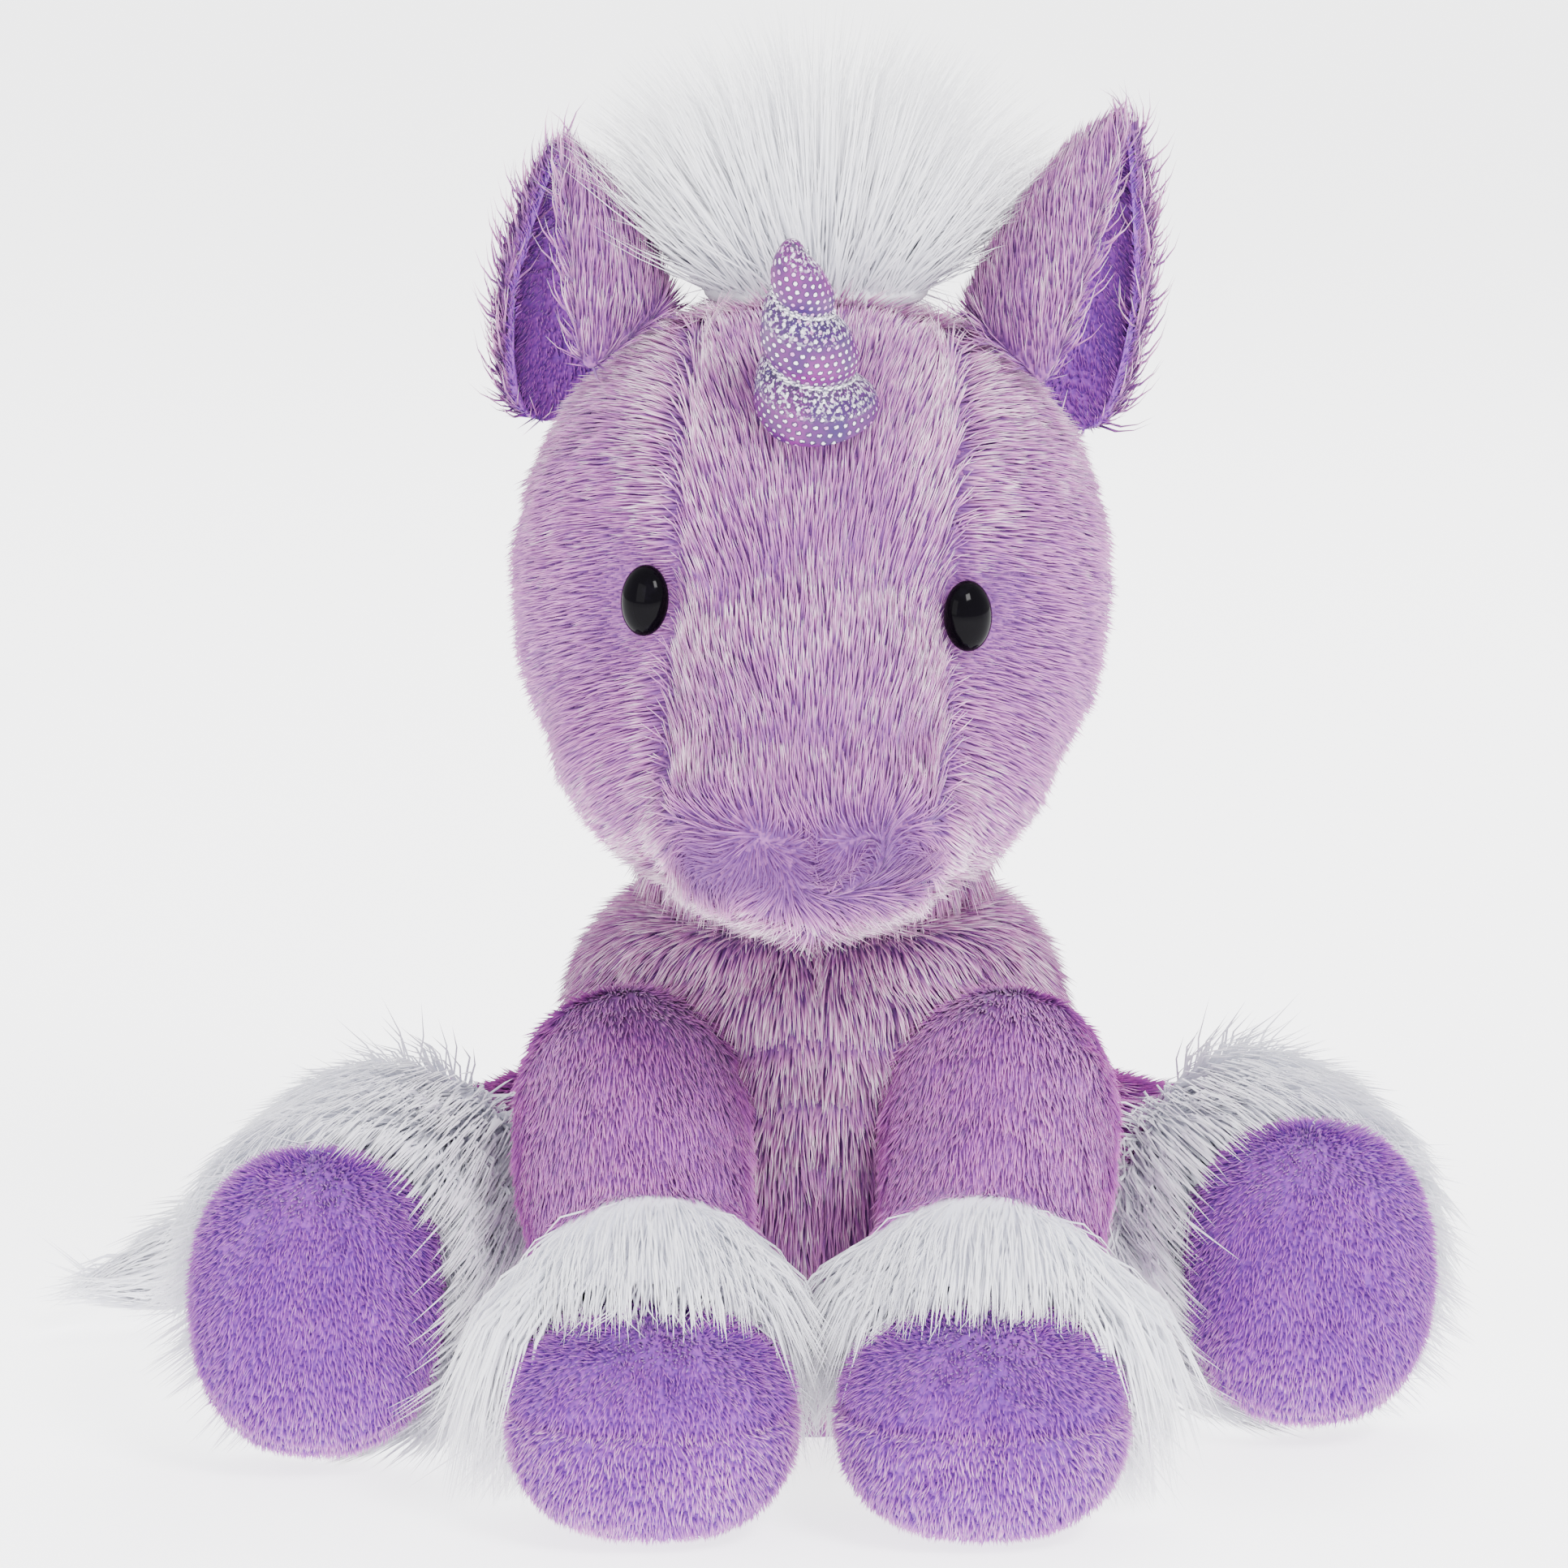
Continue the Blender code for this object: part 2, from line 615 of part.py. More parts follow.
def ear_sheet(name, side, outer, inner):
    """One layer of the ear's cup, between two distances inside its outer face."""
    sign = side_sign(side)
    base = on_head(EAR_BASES[side])
    tip = on_head(EAR_TIPS[side])
    along = (tip - base).normalized()
    back = flip(EAR_BACK, side)
    back = (back - along * back.dot(along)).normalized()
    across = along.cross(back)
    length = (tip - base).length
    levels, steps = EAR_LEVELS, EAR_STEPS
    walls = []
    for depth in (outer, inner):
        rows = []
        for level in range(levels):
            part = 0.06 + 0.92 * level / (levels - 1)
            wide = EAR_RADIUS * (1 - part ** 2.1) ** 0.85 * (0.86 + 0.3 * part) + 1.2 * MM
            radius = max(wide - depth, 0.25 * MM)
            height = length * part - (depth * 0.5 if level == levels - 1 else 0)
            row = []
            for step in range(steps + 1):
                turn = sign * (EAR_CUP[0] + (EAR_CUP[1] - EAR_CUP[0]) * step / steps)
                row.append(base + along * height + radius * EAR_FLAT * back * math.cos(turn)
                           + radius * across * math.sin(turn))
            rows.append(row)
        walls.append(rows)
    points = [p for rows in walls for row in rows for p in row]
    per_row = steps + 1
    per_wall = levels * per_row

    def at(wall, level, step):
        return wall * per_wall + level * per_row + step

    faces = []
    for level in range(levels - 1):
        for step in range(steps):
            quad = [at(0, level, step), at(0, level, step + 1),
                    at(0, level + 1, step + 1), at(0, level + 1, step)]
            faces.append(quad)
            faces.append([v + per_wall for v in quad][::-1])
        for step in (0, steps):
            edge = [at(0, level, step), at(0, level + 1, step), at(1, level + 1, step), at(1, level, step)]
            faces.append(edge if step == 0 else edge[::-1])
    for step in range(steps):
        for level in (0, levels - 1):
            edge = [at(0, level, step + 1), at(0, level, step), at(1, level, step), at(1, level, step + 1)]
            faces.append(edge if level == 0 else edge[::-1])
    return mesh_object(name, points, faces)


def make_ear(side, fur, lining):
    body = Body("ear_" + side, rolled(on_head(EAR_BASES[side])))
    for name, wall, mat in (("ear_back_", EAR_BACK_WALL, fur), ("ear_lining_", EAR_LINING_WALL, lining)):
        layer = ear_sheet("layer", side, *wall)
        fix_facing(layer)
        room = SKULL_HALF + Vector((1, 1, 1)) * EAR_CLEAR
        carve(layer, rounded("head_room", SKULL, room, 20, 11, SKULL_FULL))
        turned(layer, NECK, "Y", math.degrees(HEAD_ROLL))
        body.add(layer, name + side, mat)


def fix_facing(ob):
    """Turns a solid's faces outwards if they all point in."""
    mesh = ob.data
    mesh.calc_loop_triangles()
    volume = 0.0
    for tri in mesh.loop_triangles:
        a, b, c = (mesh.vertices[i].co for i in tri.vertices)
        volume += a.dot(b.cross(c))
    if volume < 0:
        mesh.flip_normals()


# Legs and hooves

def hoof_pieces(body, prefix, side, middle, half, seam, suede, stuffing):
    """A hoof in two fabric panels, joined at a seam round its middle, over its filling."""
    less = Vector((1, 1, 1))
    shell = rounded("shell", middle, half, 16, 9, HOOF_FULL)
    carve(shell, rounded("hollow", middle, half - less * FABRIC, 16, 9, HOOF_FULL))
    slope = Matrix.Rotation(math.radians(seam[0]), 4, "X")
    slope = Matrix.Translation(middle + Vector((0, 0, seam[1]))) @ slope
    for name, low, high in (("_hoof_upper_", GAP / 2, FAR), ("_hoof_sole_", -FAR, -GAP / 2)):
        panel = copy_of(shell, "panel")
        keep = block("keep", (-FAR, -FAR, low), (FAR, FAR, high))
        keep.data.transform(slope)
        carve(panel, keep, "INTERSECT")
        body.add(panel, prefix + name + side, suede)
    drop(shell)
    filling = rounded("fill", middle, half - less * (FABRIC + GAP), 16, 9, HOOF_FULL)
    body.add(filling, prefix + "_hoof_filling_" + side, stuffing)


def leg_split(stations, start):
    """Stations from a distance along the leg on, with one added where it starts."""
    gone = 0.0
    for i in range(1, len(stations)):
        step = (stations[i][0] - stations[i - 1][0]).length
        if gone + step > start:
            part = (start - gone) / step
            point = stations[i - 1][0].lerp(stations[i][0], part)
            along = stations[i - 1][1].lerp(stations[i][1], part).normalized()
            radius = stations[i - 1][2] + part * (stations[i][2] - stations[i - 1][2])
            return [(point, along, radius)] + stations[i:], i
        gone += step
    return stations[-1:], len(stations)


def leg_pieces(stations, start, names, pile, taller, mats):
    """A limb: its plain sleeve, then its long-haired band, both over one filling."""
    sleeve_mat, stuffing, pile_mat = mats
    sleeve_name, filling_name, pile_name = names
    lower, index = leg_split(stations, start)
    point, along, radius = lower[0]
    upper = stations[:index] + [(point - along * (GAP + 3 * MM), along, radius)]
    sleeve = tube("sleeve", upper)
    inside = tube("inside", stations, -FABRIC, end_grow=6 * MM)
    carve(sleeve, inside, keep_cutter=True)
    band = tube("band", lower, pile, round_start=False, taller=taller, end_grow=0.0)
    carve(band, inside)
    core = tube("core", stations, -FABRIC - GAP, end_grow=0.0)
    return (sleeve, sleeve_name, sleeve_mat), (core, filling_name, stuffing), (band, pile_name, pile_mat)


def make_fore_leg(side, velvet, stuffing, hair, suede):
    leg = Body("fore_leg_" + side, flip(SHOULDER, side))
    middle = flip(FORE_HOOF, side)
    half = FORE_HOOF_HALF
    room = rounded("hoof_room", middle, half + Vector((1, 1, 1)) * HOOF_CLEAR, 14, 9, HOOF_FULL)
    names = ("fore_sleeve_" + side, "fore_leg_filling_" + side, "fore_cuff_" + side)
    pieces = leg_pieces(fore_stations(side), CUFF_START, names, FORE_PILE, 0.0, (velvet, stuffing, hair))
    for ob, name, mat in pieces:
        carve(ob, room, keep_cutter=True)
        leg.add(ob, name, mat)
    drop(room)
    hoof = Body("fore_hoof_" + side, flip(FORE_ANKLE, side))
    hoof_pieces(hoof, "fore", side, middle, half, FORE_SEAM, suede, stuffing)


def make_rear_leg(side, velvet, stuffing, hair, suede):
    leg = Body("rear_leg_" + side, flip(HIP, side))
    middle = REAR_HOOFS[side]
    half = REAR_HOOF_HALF
    room = rounded("hoof_room", middle, half + Vector((1, 1, 1)) * HOOF_CLEAR, 14, 9, HOOF_FULL)
    names = ("rear_thigh_" + side, "rear_leg_filling_" + side, "rear_pile_" + side)
    pieces = leg_pieces(rear_stations(side), REAR_PILE_START, names, PILE_BAND, MM, (velvet, stuffing, hair))
    for ob, name, mat in pieces:
        carve(ob, room, keep_cutter=True)
        leg.add(ob, name, mat)
    drop(room)
    hoof = Body("rear_hoof_" + side, middle + Vector((0, ANKLE_BACK, 0)))
    hoof_pieces(hoof, "rear", side, middle, half, REAR_SEAM, suede, stuffing)


def make_tail(hair):
    body = Body("tail", TAIL_ROOT)
    stations = route_stations(TAIL_ROUTE, TAIL_RADII)
    body.add(tube("tail", stations, sides=12), "tail", hair)


def main():
    clear_scene()
    fur = material("lavender_fur", LAVENDER, 0.9)
    velvet = material("lilac_velvet", LILAC, 0.85)
    suede = material("purple_suede", PURPLE, 0.8)
    hair = material("white_pile", WHITE, 0.85)
    stuffing = material("stuffing", (0.86, 0.85, 0.83), 0.95)
    bag = material("pellet_cloth", (0.78, 0.77, 0.74), 0.9)
    eye = material("eye_black", (0.004, 0.003, 0.005), 0.06)
    washer = material("washer_plastic", (0.75, 0.75, 0.74), 0.45)
    satin = material("horn_satin", (0.42, 0.22, 0.56), 0.35)
    thread = material("silver_thread", (0.80, 0.80, 0.84), 0.25, 0.9)
    plain = material("label_cloth", (0.90, 0.90, 0.90), 0.7)

    make_torso(fur, bag, stuffing, plain)
    make_neck(fur, stuffing)
    make_head(fur, stuffing, hair, eye, washer, satin, thread)
    for side in ("left", "right"):
        make_ear(side, fur, suede)
        make_fore_leg(side, velvet, stuffing, hair, suede)
        make_rear_leg(side, velvet, stuffing, hair, suede)
    make_tail(hair)


main()
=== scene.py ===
import math

import bmesh
import bpy
import numpy as np
from mathutils import Matrix, Vector
from mathutils.bvhtree import BVHTree


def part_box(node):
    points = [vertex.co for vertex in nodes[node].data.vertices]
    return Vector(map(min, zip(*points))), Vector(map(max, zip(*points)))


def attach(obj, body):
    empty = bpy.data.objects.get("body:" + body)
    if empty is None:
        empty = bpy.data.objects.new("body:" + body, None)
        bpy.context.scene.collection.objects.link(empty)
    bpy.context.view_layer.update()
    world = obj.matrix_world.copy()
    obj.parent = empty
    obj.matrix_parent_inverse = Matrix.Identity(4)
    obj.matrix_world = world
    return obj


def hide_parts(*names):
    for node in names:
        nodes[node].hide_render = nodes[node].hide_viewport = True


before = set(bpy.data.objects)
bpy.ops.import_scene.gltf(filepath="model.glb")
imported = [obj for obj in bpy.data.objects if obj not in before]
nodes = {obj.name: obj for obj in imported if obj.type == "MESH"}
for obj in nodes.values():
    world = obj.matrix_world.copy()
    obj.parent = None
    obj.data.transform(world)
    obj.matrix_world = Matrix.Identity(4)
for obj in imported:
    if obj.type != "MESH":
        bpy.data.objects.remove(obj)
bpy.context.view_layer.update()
scene = bpy.context.scene
mm = 0.001
floorHeight = 0.4 * mm   # no hair goes lower
seamHold = 0.6           # a cover is held where it is nearer a seam than this


class Sock:
    def __init__(self, net, plug):
        self.net = net
        self.plug = plug

    def calc(self, operation, *values):
        return self.net.add("ShaderNodeMath", {"operation": operation}, dict(enumerate(values)))

    def __add__(self, other):
        return self.calc("ADD", self, other)

    def __radd__(self, other):
        return self.calc("ADD", other, self)

    def __sub__(self, other):
        return self.calc("SUBTRACT", self, other)

    def __rsub__(self, other):
        return self.calc("SUBTRACT", other, self)

    def __mul__(self, other):
        return self.calc("MULTIPLY", self, other)

    def __rmul__(self, other):
        return self.calc("MULTIPLY", other, self)

    def __truediv__(self, other):
        return self.calc("DIVIDE", self, other)

    def __rtruediv__(self, other):
        return self.calc("DIVIDE", other, self)

    def clip(self, low, high):
        return self.calc("MINIMUM", self.calc("MAXIMUM", self, low), high)

    def between(self, low, high):
        # 0 below low, 1 above high, smooth on the way
        return self.net.add("ShaderNodeMapRange", {"interpolation_type": "SMOOTHSTEP"},
                            {0: self, 1: low, 2: high, 3: 0.0, 4: 1.0})


class Net:
    def __init__(self, tree):
        self.tree = tree

    def feed(self, plug, value):
        if isinstance(value, Sock):
            self.tree.links.new(value.plug, plug)
        else:
            plug.default_value = value

    def add(self, kind, settings=None, feeds=None, out=0):
        node = self.tree.nodes.new(kind)
        for key, value in (settings or {}).items():
            setattr(node, key, value)
        for key, value in (feeds or {}).items():
            self.feed(node.inputs[key], value)
        return Sock(self, node.outputs[out])

    def parts(self, vector):
        node = self.tree.nodes.new("ShaderNodeSeparateXYZ")
        self.feed(node.inputs[0], vector)
        return [Sock(self, plug) for plug in node.outputs]

    def vec(self, operation, *values):
        return self.add("ShaderNodeVectorMath", {"operation": operation}, dict(enumerate(values)))

    def scaled(self, vector, amount):
        return self.add("ShaderNodeVectorMath", {"operation": "SCALE"}, {0: vector, "Scale": amount})

    def mixColour(self, factor, first, second):
        return self.add("ShaderNodeMix", {"data_type": "RGBA"}, {0: factor, 6: first, 7: second}, 2)

    def noise(self, vector, size, detail=2.0):
        # size is the length of one patch in metres
        return self.add("ShaderNodeTexNoise", {},
                        {"Vector": vector, "Scale": 1.0 / size, "Detail": detail})

    def bump(self, height, depth, strength):
        return self.add("ShaderNodeBump", {}, {"Strength": strength, "Distance": depth, "Height": height})

    def place(self):
        return self.add("ShaderNodeTexCoord", out="Object")

    def attribute(self, name):
        return self.add("ShaderNodeAttribute", {"attribute_name": name}, out="Fac")


def rgb(red, green, blue):
    # a colour as it looks on a screen, 0 to 255, made linear
    parts = []
    for value in (red, green, blue):
        value /= 255.0
        parts.append(value / 12.92 if value <= 0.04045 else ((value + 0.055) / 1.055) ** 2.4)
    return (*parts, 1.0)


def newMaterial(name, roughness=0.8, **sockets):
    mat = bpy.data.materials.new(name)
    mat.use_nodes = True
    shader = mat.node_tree.nodes["Principled BSDF"]
    shader.inputs["Roughness"].default_value = roughness
    for key, value in sockets.items():
        shader.inputs[key.replace("_", " ")].default_value = value
    return mat, Net(mat.node_tree), shader


# the colours along a hair, how large the patches and clumps of tone are, and how far hairs differ
furLook = {
    "lavender": dict(root=rgb(96, 48, 118), body=rgb(208, 140, 192), tip=rgb(255, 238, 246),
                     deep=rgb(160, 92, 160), patch=16 * mm, clump=2.8, mottle=1.1, slot="lavender_fur"),
    "lilac": dict(root=rgb(108, 52, 130), body=rgb(224, 128, 208), tip=rgb(252, 204, 238),
                  deep=rgb(178, 98, 186), patch=14 * mm, clump=0.9, mottle=0.6, slot="lilac_velvet"),
    "purple": dict(root=rgb(100, 42, 146), body=rgb(196, 114, 198), tip=rgb(246, 202, 230),
                   deep=rgb(150, 68, 176), patch=11 * mm, clump=0.9, mottle=0.6, slot="purple_suede"),
    "white": dict(root=rgb(238, 239, 247), body=rgb(251, 251, 254), tip=rgb(255, 255, 255),
                  deep=rgb(244, 244, 251), patch=20 * mm, clump=0.3, mottle=0.4, slot="white_pile"),
}
clumpSize = 4.2 * mm


def makeFurMaterial(name, look):
    mat, net, shader = newMaterial(name + "Hair", 0.62, Sheen_Weight=0.25, Sheen_Roughness=0.4,
                                   Specular_IOR_Level=0.25)
    along = net.attribute("along")
    tone = net.attribute("tone")
    frostAndShading = net.attribute("frostAndShading")
    patch = net.noise(net.place(), look["patch"])
    clump = net.noise(net.place(), clumpSize)
    pale = (patch * 0.8 + frostAndShading + (tone - 0.5) * look["mottle"] + (clump - 0.5) * look["clump"]
            - 0.15).between(0.15, 0.85)
    body = net.mixColour(pale, look["deep"], look["body"])
    tip = net.mixColour(pale, look["body"], look["tip"])
    lower = net.mixColour(along.between(0.08, 0.62), look["root"], body)
    full = net.mixColour(along.between(0.5, 0.95), lower, tip)
    shade = net.mixColour((tone - 0.5).clip(0.0, 1.0) * look["mottle"] * 1.3, full, look["root"])
    # painted shade: where the frost value falls far below zero, on the cheeks and the nose, hairs darken
    # toward the root colour; on the nose this is partly its darker whorl
    shade = net.mixColour((-0.4 - frostAndShading).between(0.0, 0.8) * 0.7, shade, look["root"])
    net.feed(shader.inputs["Base Color"], shade)
    return mat


def makeSkinMaterial(name, look):
    # the backing and the roots of the pile, seen between the hairs, white where a band is white
    mat, net, shader = newMaterial(name + "Backing", 0.9, Sheen_Weight=0.2)
    place = net.place()
    patch = net.noise(place, look["patch"])
    grain = net.noise(place, 0.9 * mm)
    colour = net.mixColour((patch * 0.5 + grain * 0.6).between(0.3, 0.8), look["root"], look["deep"])
    colour = net.mixColour(net.attribute("pale"), colour, rgb(226, 226, 238))
    net.feed(shader.inputs["Base Color"], colour)
    net.feed(shader.inputs["Normal"], net.bump(grain, 0.3 * mm, 0.6))
    return mat


hairMats = {name: makeFurMaterial(name, look) for name, look in furLook.items()}
skinMats = {name: makeSkinMaterial(name, look) for name, look in furLook.items()}


def makeFibreMaterial():
    mat, net, shader = newMaterial("fibreFilling", 0.95, Sheen_Weight=0.3)
    lumps = net.noise(net.place(), 6 * mm, 4.0)
    net.feed(shader.inputs["Base Color"],
             net.mixColour(lumps.between(0.3, 0.7), rgb(222, 220, 216), rgb(246, 245, 243)))
    net.feed(shader.inputs["Normal"], net.bump(lumps, 1.0 * mm, 0.7))
    return mat


def makeWovenMaterial(name, low, high, thread):
    mat, net, shader = newMaterial(name, 0.85, Sheen_Weight=0.15)
    turned = net.add("ShaderNodeMapping", {}, {"Vector": net.place(), "Rotation": (0.5, 0.3, 0.2)})
    waves = {"Vector": turned, "Scale": 0.16 / thread}
    warp, weft = (net.add("ShaderNodeTexWave", {"bands_direction": way}, waves) for way in "XZ")
    weave = warp * 0.5 + weft * 0.5
    net.feed(shader.inputs["Base Color"], net.mixColour(weave, low, high))
    net.feed(shader.inputs["Normal"], net.bump(weave, 0.15 * mm, 0.5))
    return mat


def makePlasticMaterial(name, colour, scuffed, roughness, **sockets):
    mat, net, shader = newMaterial(name, roughness, **sockets)
    wear = net.noise(net.place(), 2.5 * mm, 3.0)
    net.feed(shader.inputs["Base Color"], net.mixColour(wear.between(0.55, 0.8), colour, scuffed))
    net.feed(shader.inputs["Roughness"], roughness + wear * 0.04)
    return mat


fibre = makeFibreMaterial()
pelletCloth = makeWovenMaterial("pelletCloth", rgb(198, 195, 188), rgb(232, 230, 224), 0.5 * mm)
labelCloth = makeWovenMaterial("labelCloth", rgb(226, 226, 228), rgb(248, 248, 249), 0.35 * mm)
eyeBlack = makePlasticMaterial("eyeBlack", rgb(5, 4, 7), rgb(10, 8, 14), 0.07,
                               Specular_IOR_Level=0.16, IOR=1.25)
washerPlastic = makePlasticMaterial("washerPlastic", rgb(222, 222, 220), rgb(236, 236, 234), 0.4)


def makeHornMaterial():
    # satin with staggered foil dots in dark rings, gathered into fine silver pleats under the groove
    mat, net, shader = newMaterial("hornSatin", 0.36, Specular_IOR_Level=0.3)
    spot = net.attribute("spot")
    hem = net.attribute("hem")
    place = net.place()
    sheen = net.noise(place, 7 * mm)
    # painted highlight and shade: the foil dots turn white in random lit patches and stay pink in the rest
    litFoil = net.noise(place, 3.2 * mm, 1.0).between(0.36, 0.56)
    grain = net.noise(place, 0.62 * mm, 3.0)
    satin = net.mixColour(sheen.between(0.3, 0.7), rgb(50, 18, 84), rgb(104, 26, 106))
    disc = spot.between(0.54, 0.64)
    ring = spot.between(0.36, 0.46) * (1.0 - disc)
    foil = net.mixColour(litFoil, rgb(206, 130, 204), rgb(240, 236, 244))
    dotted = net.mixColour(ring * 0.85, satin, rgb(44, 22, 66))
    dotted = net.mixColour(disc, dotted, foil)
    pleats = net.mixColour(grain.between(0.51, 0.6), rgb(38, 24, 56), rgb(226, 222, 236))
    crease = grain.calc("ABSOLUTE", grain - 0.5).between(0.02, 0.07)
    full = net.mixColour(hem * crease, dotted, pleats)
    # painted shadow: a dark line along the groove, where the overhanging fold shades it
    full = net.mixColour(hem.between(0.86, 0.97) * 0.8, full, rgb(44, 30, 62))
    glitter = hem * grain.between(0.56, 0.64)
    net.feed(shader.inputs["Base Color"], full)
    net.feed(shader.inputs["Metallic"], (disc * litFoil * 0.35 + glitter * 0.7).clip(0.0, 1.0))
    net.feed(shader.inputs["Roughness"], 0.36 - disc * 0.12 + sheen * 0.08)
    net.feed(shader.inputs["Normal"], net.bump(disc * 0.5 + hem * grain * 1.5, 0.25 * mm, 0.6))
    return mat


def makeThreadMaterial():
    mat, net, shader = newMaterial("silverThread", 0.28, Metallic=0.9)
    grain = net.noise(net.place(), 0.5 * mm, 1.0)
    net.feed(shader.inputs["Base Color"],
             net.mixColour(grain.between(0.35, 0.6), rgb(120, 112, 138), rgb(244, 243, 248)))
    return mat


hornSatin = makeHornMaterial()
silverThread = makeThreadMaterial()
print("materials made")


def addObject(name, mesh):
    ob = bpy.data.objects.new(name, mesh)
    scene.collection.objects.link(ob)
    return ob


def shadedSmooth(ob):
    ob.data.polygons.foreach_set("use_smooth", [True] * len(ob.data.polygons))
    return ob


def settled(ob):
    # the object's mesh with its modifiers worked in
    graph = bpy.context.evaluated_depsgraph_get()
    mesh = bpy.data.meshes.new_from_object(ob.evaluated_get(graph), preserve_all_data_layers=True,
                                           depsgraph=graph)
    ob.modifiers.clear()
    old = ob.data
    ob.data = mesh
    bpy.data.meshes.remove(old)
    return ob


def keep(name, bm):
    mesh = bpy.data.meshes.new(name)
    bm.to_mesh(mesh)
    bm.free()
    return addObject(name, mesh)


def gather(name, names):
    bm = bmesh.new()
    for node in names:
        bm.from_mesh(nodes[node].data)
    bmesh.ops.remove_doubles(bm, verts=bm.verts, dist=0.01 * mm)
    return keep(name, bm)


def hullOf(name, names):
    bm = bmesh.new()
    for node in names:
        bm.from_mesh(nodes[node].data)
    for face in list(bm.faces):
        bm.faces.remove(face)
    hull = bmesh.ops.convex_hull(bm, input=bm.verts)
    spare = [v for v in hull["geom_interior"] + hull["geom_unused"] if isinstance(v, bmesh.types.BMVert)]
    bmesh.ops.delete(bm, geom=list(set(spare)), context="VERTS")
    return keep(name, bm)


def ballOf(name, across, rings, half, place):
    bm = bmesh.new()
    bmesh.ops.create_uvsphere(bm, u_segments=across, v_segments=rings, radius=1.0)
    bmesh.ops.scale(bm, vec=half, verts=bm.verts)
    bmesh.ops.transform(bm, matrix=place, verts=bm.verts)
    return shadedSmooth(keep(name, bm))


def solidFrom(name, verts, faces):
    mesh = bpy.data.meshes.new(name)
    mesh.from_pydata([tuple(v) for v in verts], [], faces)
    bm = bmesh.new()
    bm.from_mesh(mesh)
    bpy.data.meshes.remove(mesh)
    bmesh.ops.recalc_face_normals(bm, faces=bm.faces)
    return shadedSmooth(keep(name, bm))


def remeshed(ob, voxel, smooth):
    # one even skin round everything in ob
    mod = ob.modifiers.new("remesh", "REMESH")
    mod.mode = "VOXEL"
    mod.voxel_size = voxel
    settled(ob)
    mod = ob.modifiers.new("smooth", "SMOOTH")
    mod.factor = 0.5
    mod.iterations = smooth
    return shadedSmooth(settled(ob))


def points(ob):
    co = np.empty(len(ob.data.vertices) * 3)
    ob.data.vertices.foreach_get("co", co)
    return co.reshape(-1, 3)


def normals(ob):
    no = np.empty(len(ob.data.vertices) * 3)
    ob.data.vertex_normals.foreach_get("vector", no)
    return no.reshape(-1, 3)


def movePoints(ob, co):
    ob.data.vertices.foreach_set("co", np.ascontiguousarray(co).reshape(-1))
    ob.data.update()


def unit(rows):
    return rows / np.maximum(np.linalg.norm(rows, axis=1), 1e-9)[:, None]


def acrossSurface(rows, normal):
    return rows - normal * np.sum(rows * normal, axis=1)[:, None]


def ramp(values, low, high):
    share = np.clip((values - low) / (high - low), 0.0, 1.0)
    return share * share * (3 - 2 * share)


def bell(values, middle, width):
    return np.exp(-((values - middle) / width) ** 2)


def nodeTree(name):
    mesh = bmesh.new()
    mesh.from_mesh(nodes[name].data)
    tree = BVHTree.FromBMesh(mesh)
    mesh.free()
    return tree


def panelsOf(ob, panels):
    # for each point, the panel it belongs to and how much further off the next one is, 0 on a seam
    trees = [nodeTree(panel) for panel in panels]
    gaps = np.array([[tree.find_nearest(Vector(p))[3] for tree in trees] for p in points(ob)])
    order = np.sort(gaps, axis=1)
    return np.argmin(gaps, axis=1), order[:, 1] - order[:, 0]


def seamOf(gap, width):
    return 1 - ramp(gap, 0.0, width)


def heldAt(gap, width):
    return (seamOf(gap, width) > seamHold) * 1.0


clothLook = dict(pressure=4.0, frames=20, tension=30, compression=20, bending=2, least=0.02, still=0.35)


def inflate(ob, pinned, cap):
    # the cover swells under its filling while its seams hold, and nowhere by more than cap
    start = points(ob)
    group = ob.vertex_groups.new(name="seams")
    for index, weight in enumerate(pinned):
        if weight > clothLook["least"]:
            group.add([index], float(weight), "REPLACE")
    cloth = ob.modifiers.new("cloth", "CLOTH")
    settings = cloth.settings
    settings.use_pressure = True
    settings.uniform_pressure_force = clothLook["pressure"]
    settings.vertex_group_mass = "seams"
    settings.effector_weights.gravity = 0
    settings.tension_stiffness = clothLook["tension"]
    settings.compression_stiffness = clothLook["compression"]
    settings.bending_stiffness = clothLook["bending"]
    cloth.point_cache.frame_start = 1
    cloth.point_cache.frame_end = clothLook["frames"]
    for step in range(1, clothLook["frames"] + 1):
        scene.frame_set(step)
    settled(ob)
    scene.frame_set(1)
    moved = points(ob) - start
    length = np.linalg.norm(moved, axis=1)
    moved *= np.minimum(1.0, cap / np.maximum(length, 1e-9))[:, None]
    movePoints(ob, start + moved)
    ob.vertex_groups.clear()


def refined(ob, levels=1):
    mod = ob.modifiers.new("refine", "SUBSURF")
    mod.levels = levels
    mod.render_levels = levels
    return settled(ob)


def paint(ob, name, values):
    kind = "FLOAT_VECTOR" if np.ndim(values) == 2 else "FLOAT"
    layer = ob.data.attributes.new(name, kind, "POINT")
    layer.data.foreach_set("vector" if kind == "FLOAT_VECTOR" else "value",
                           np.ascontiguousarray(values, dtype=np.float32).reshape(-1))


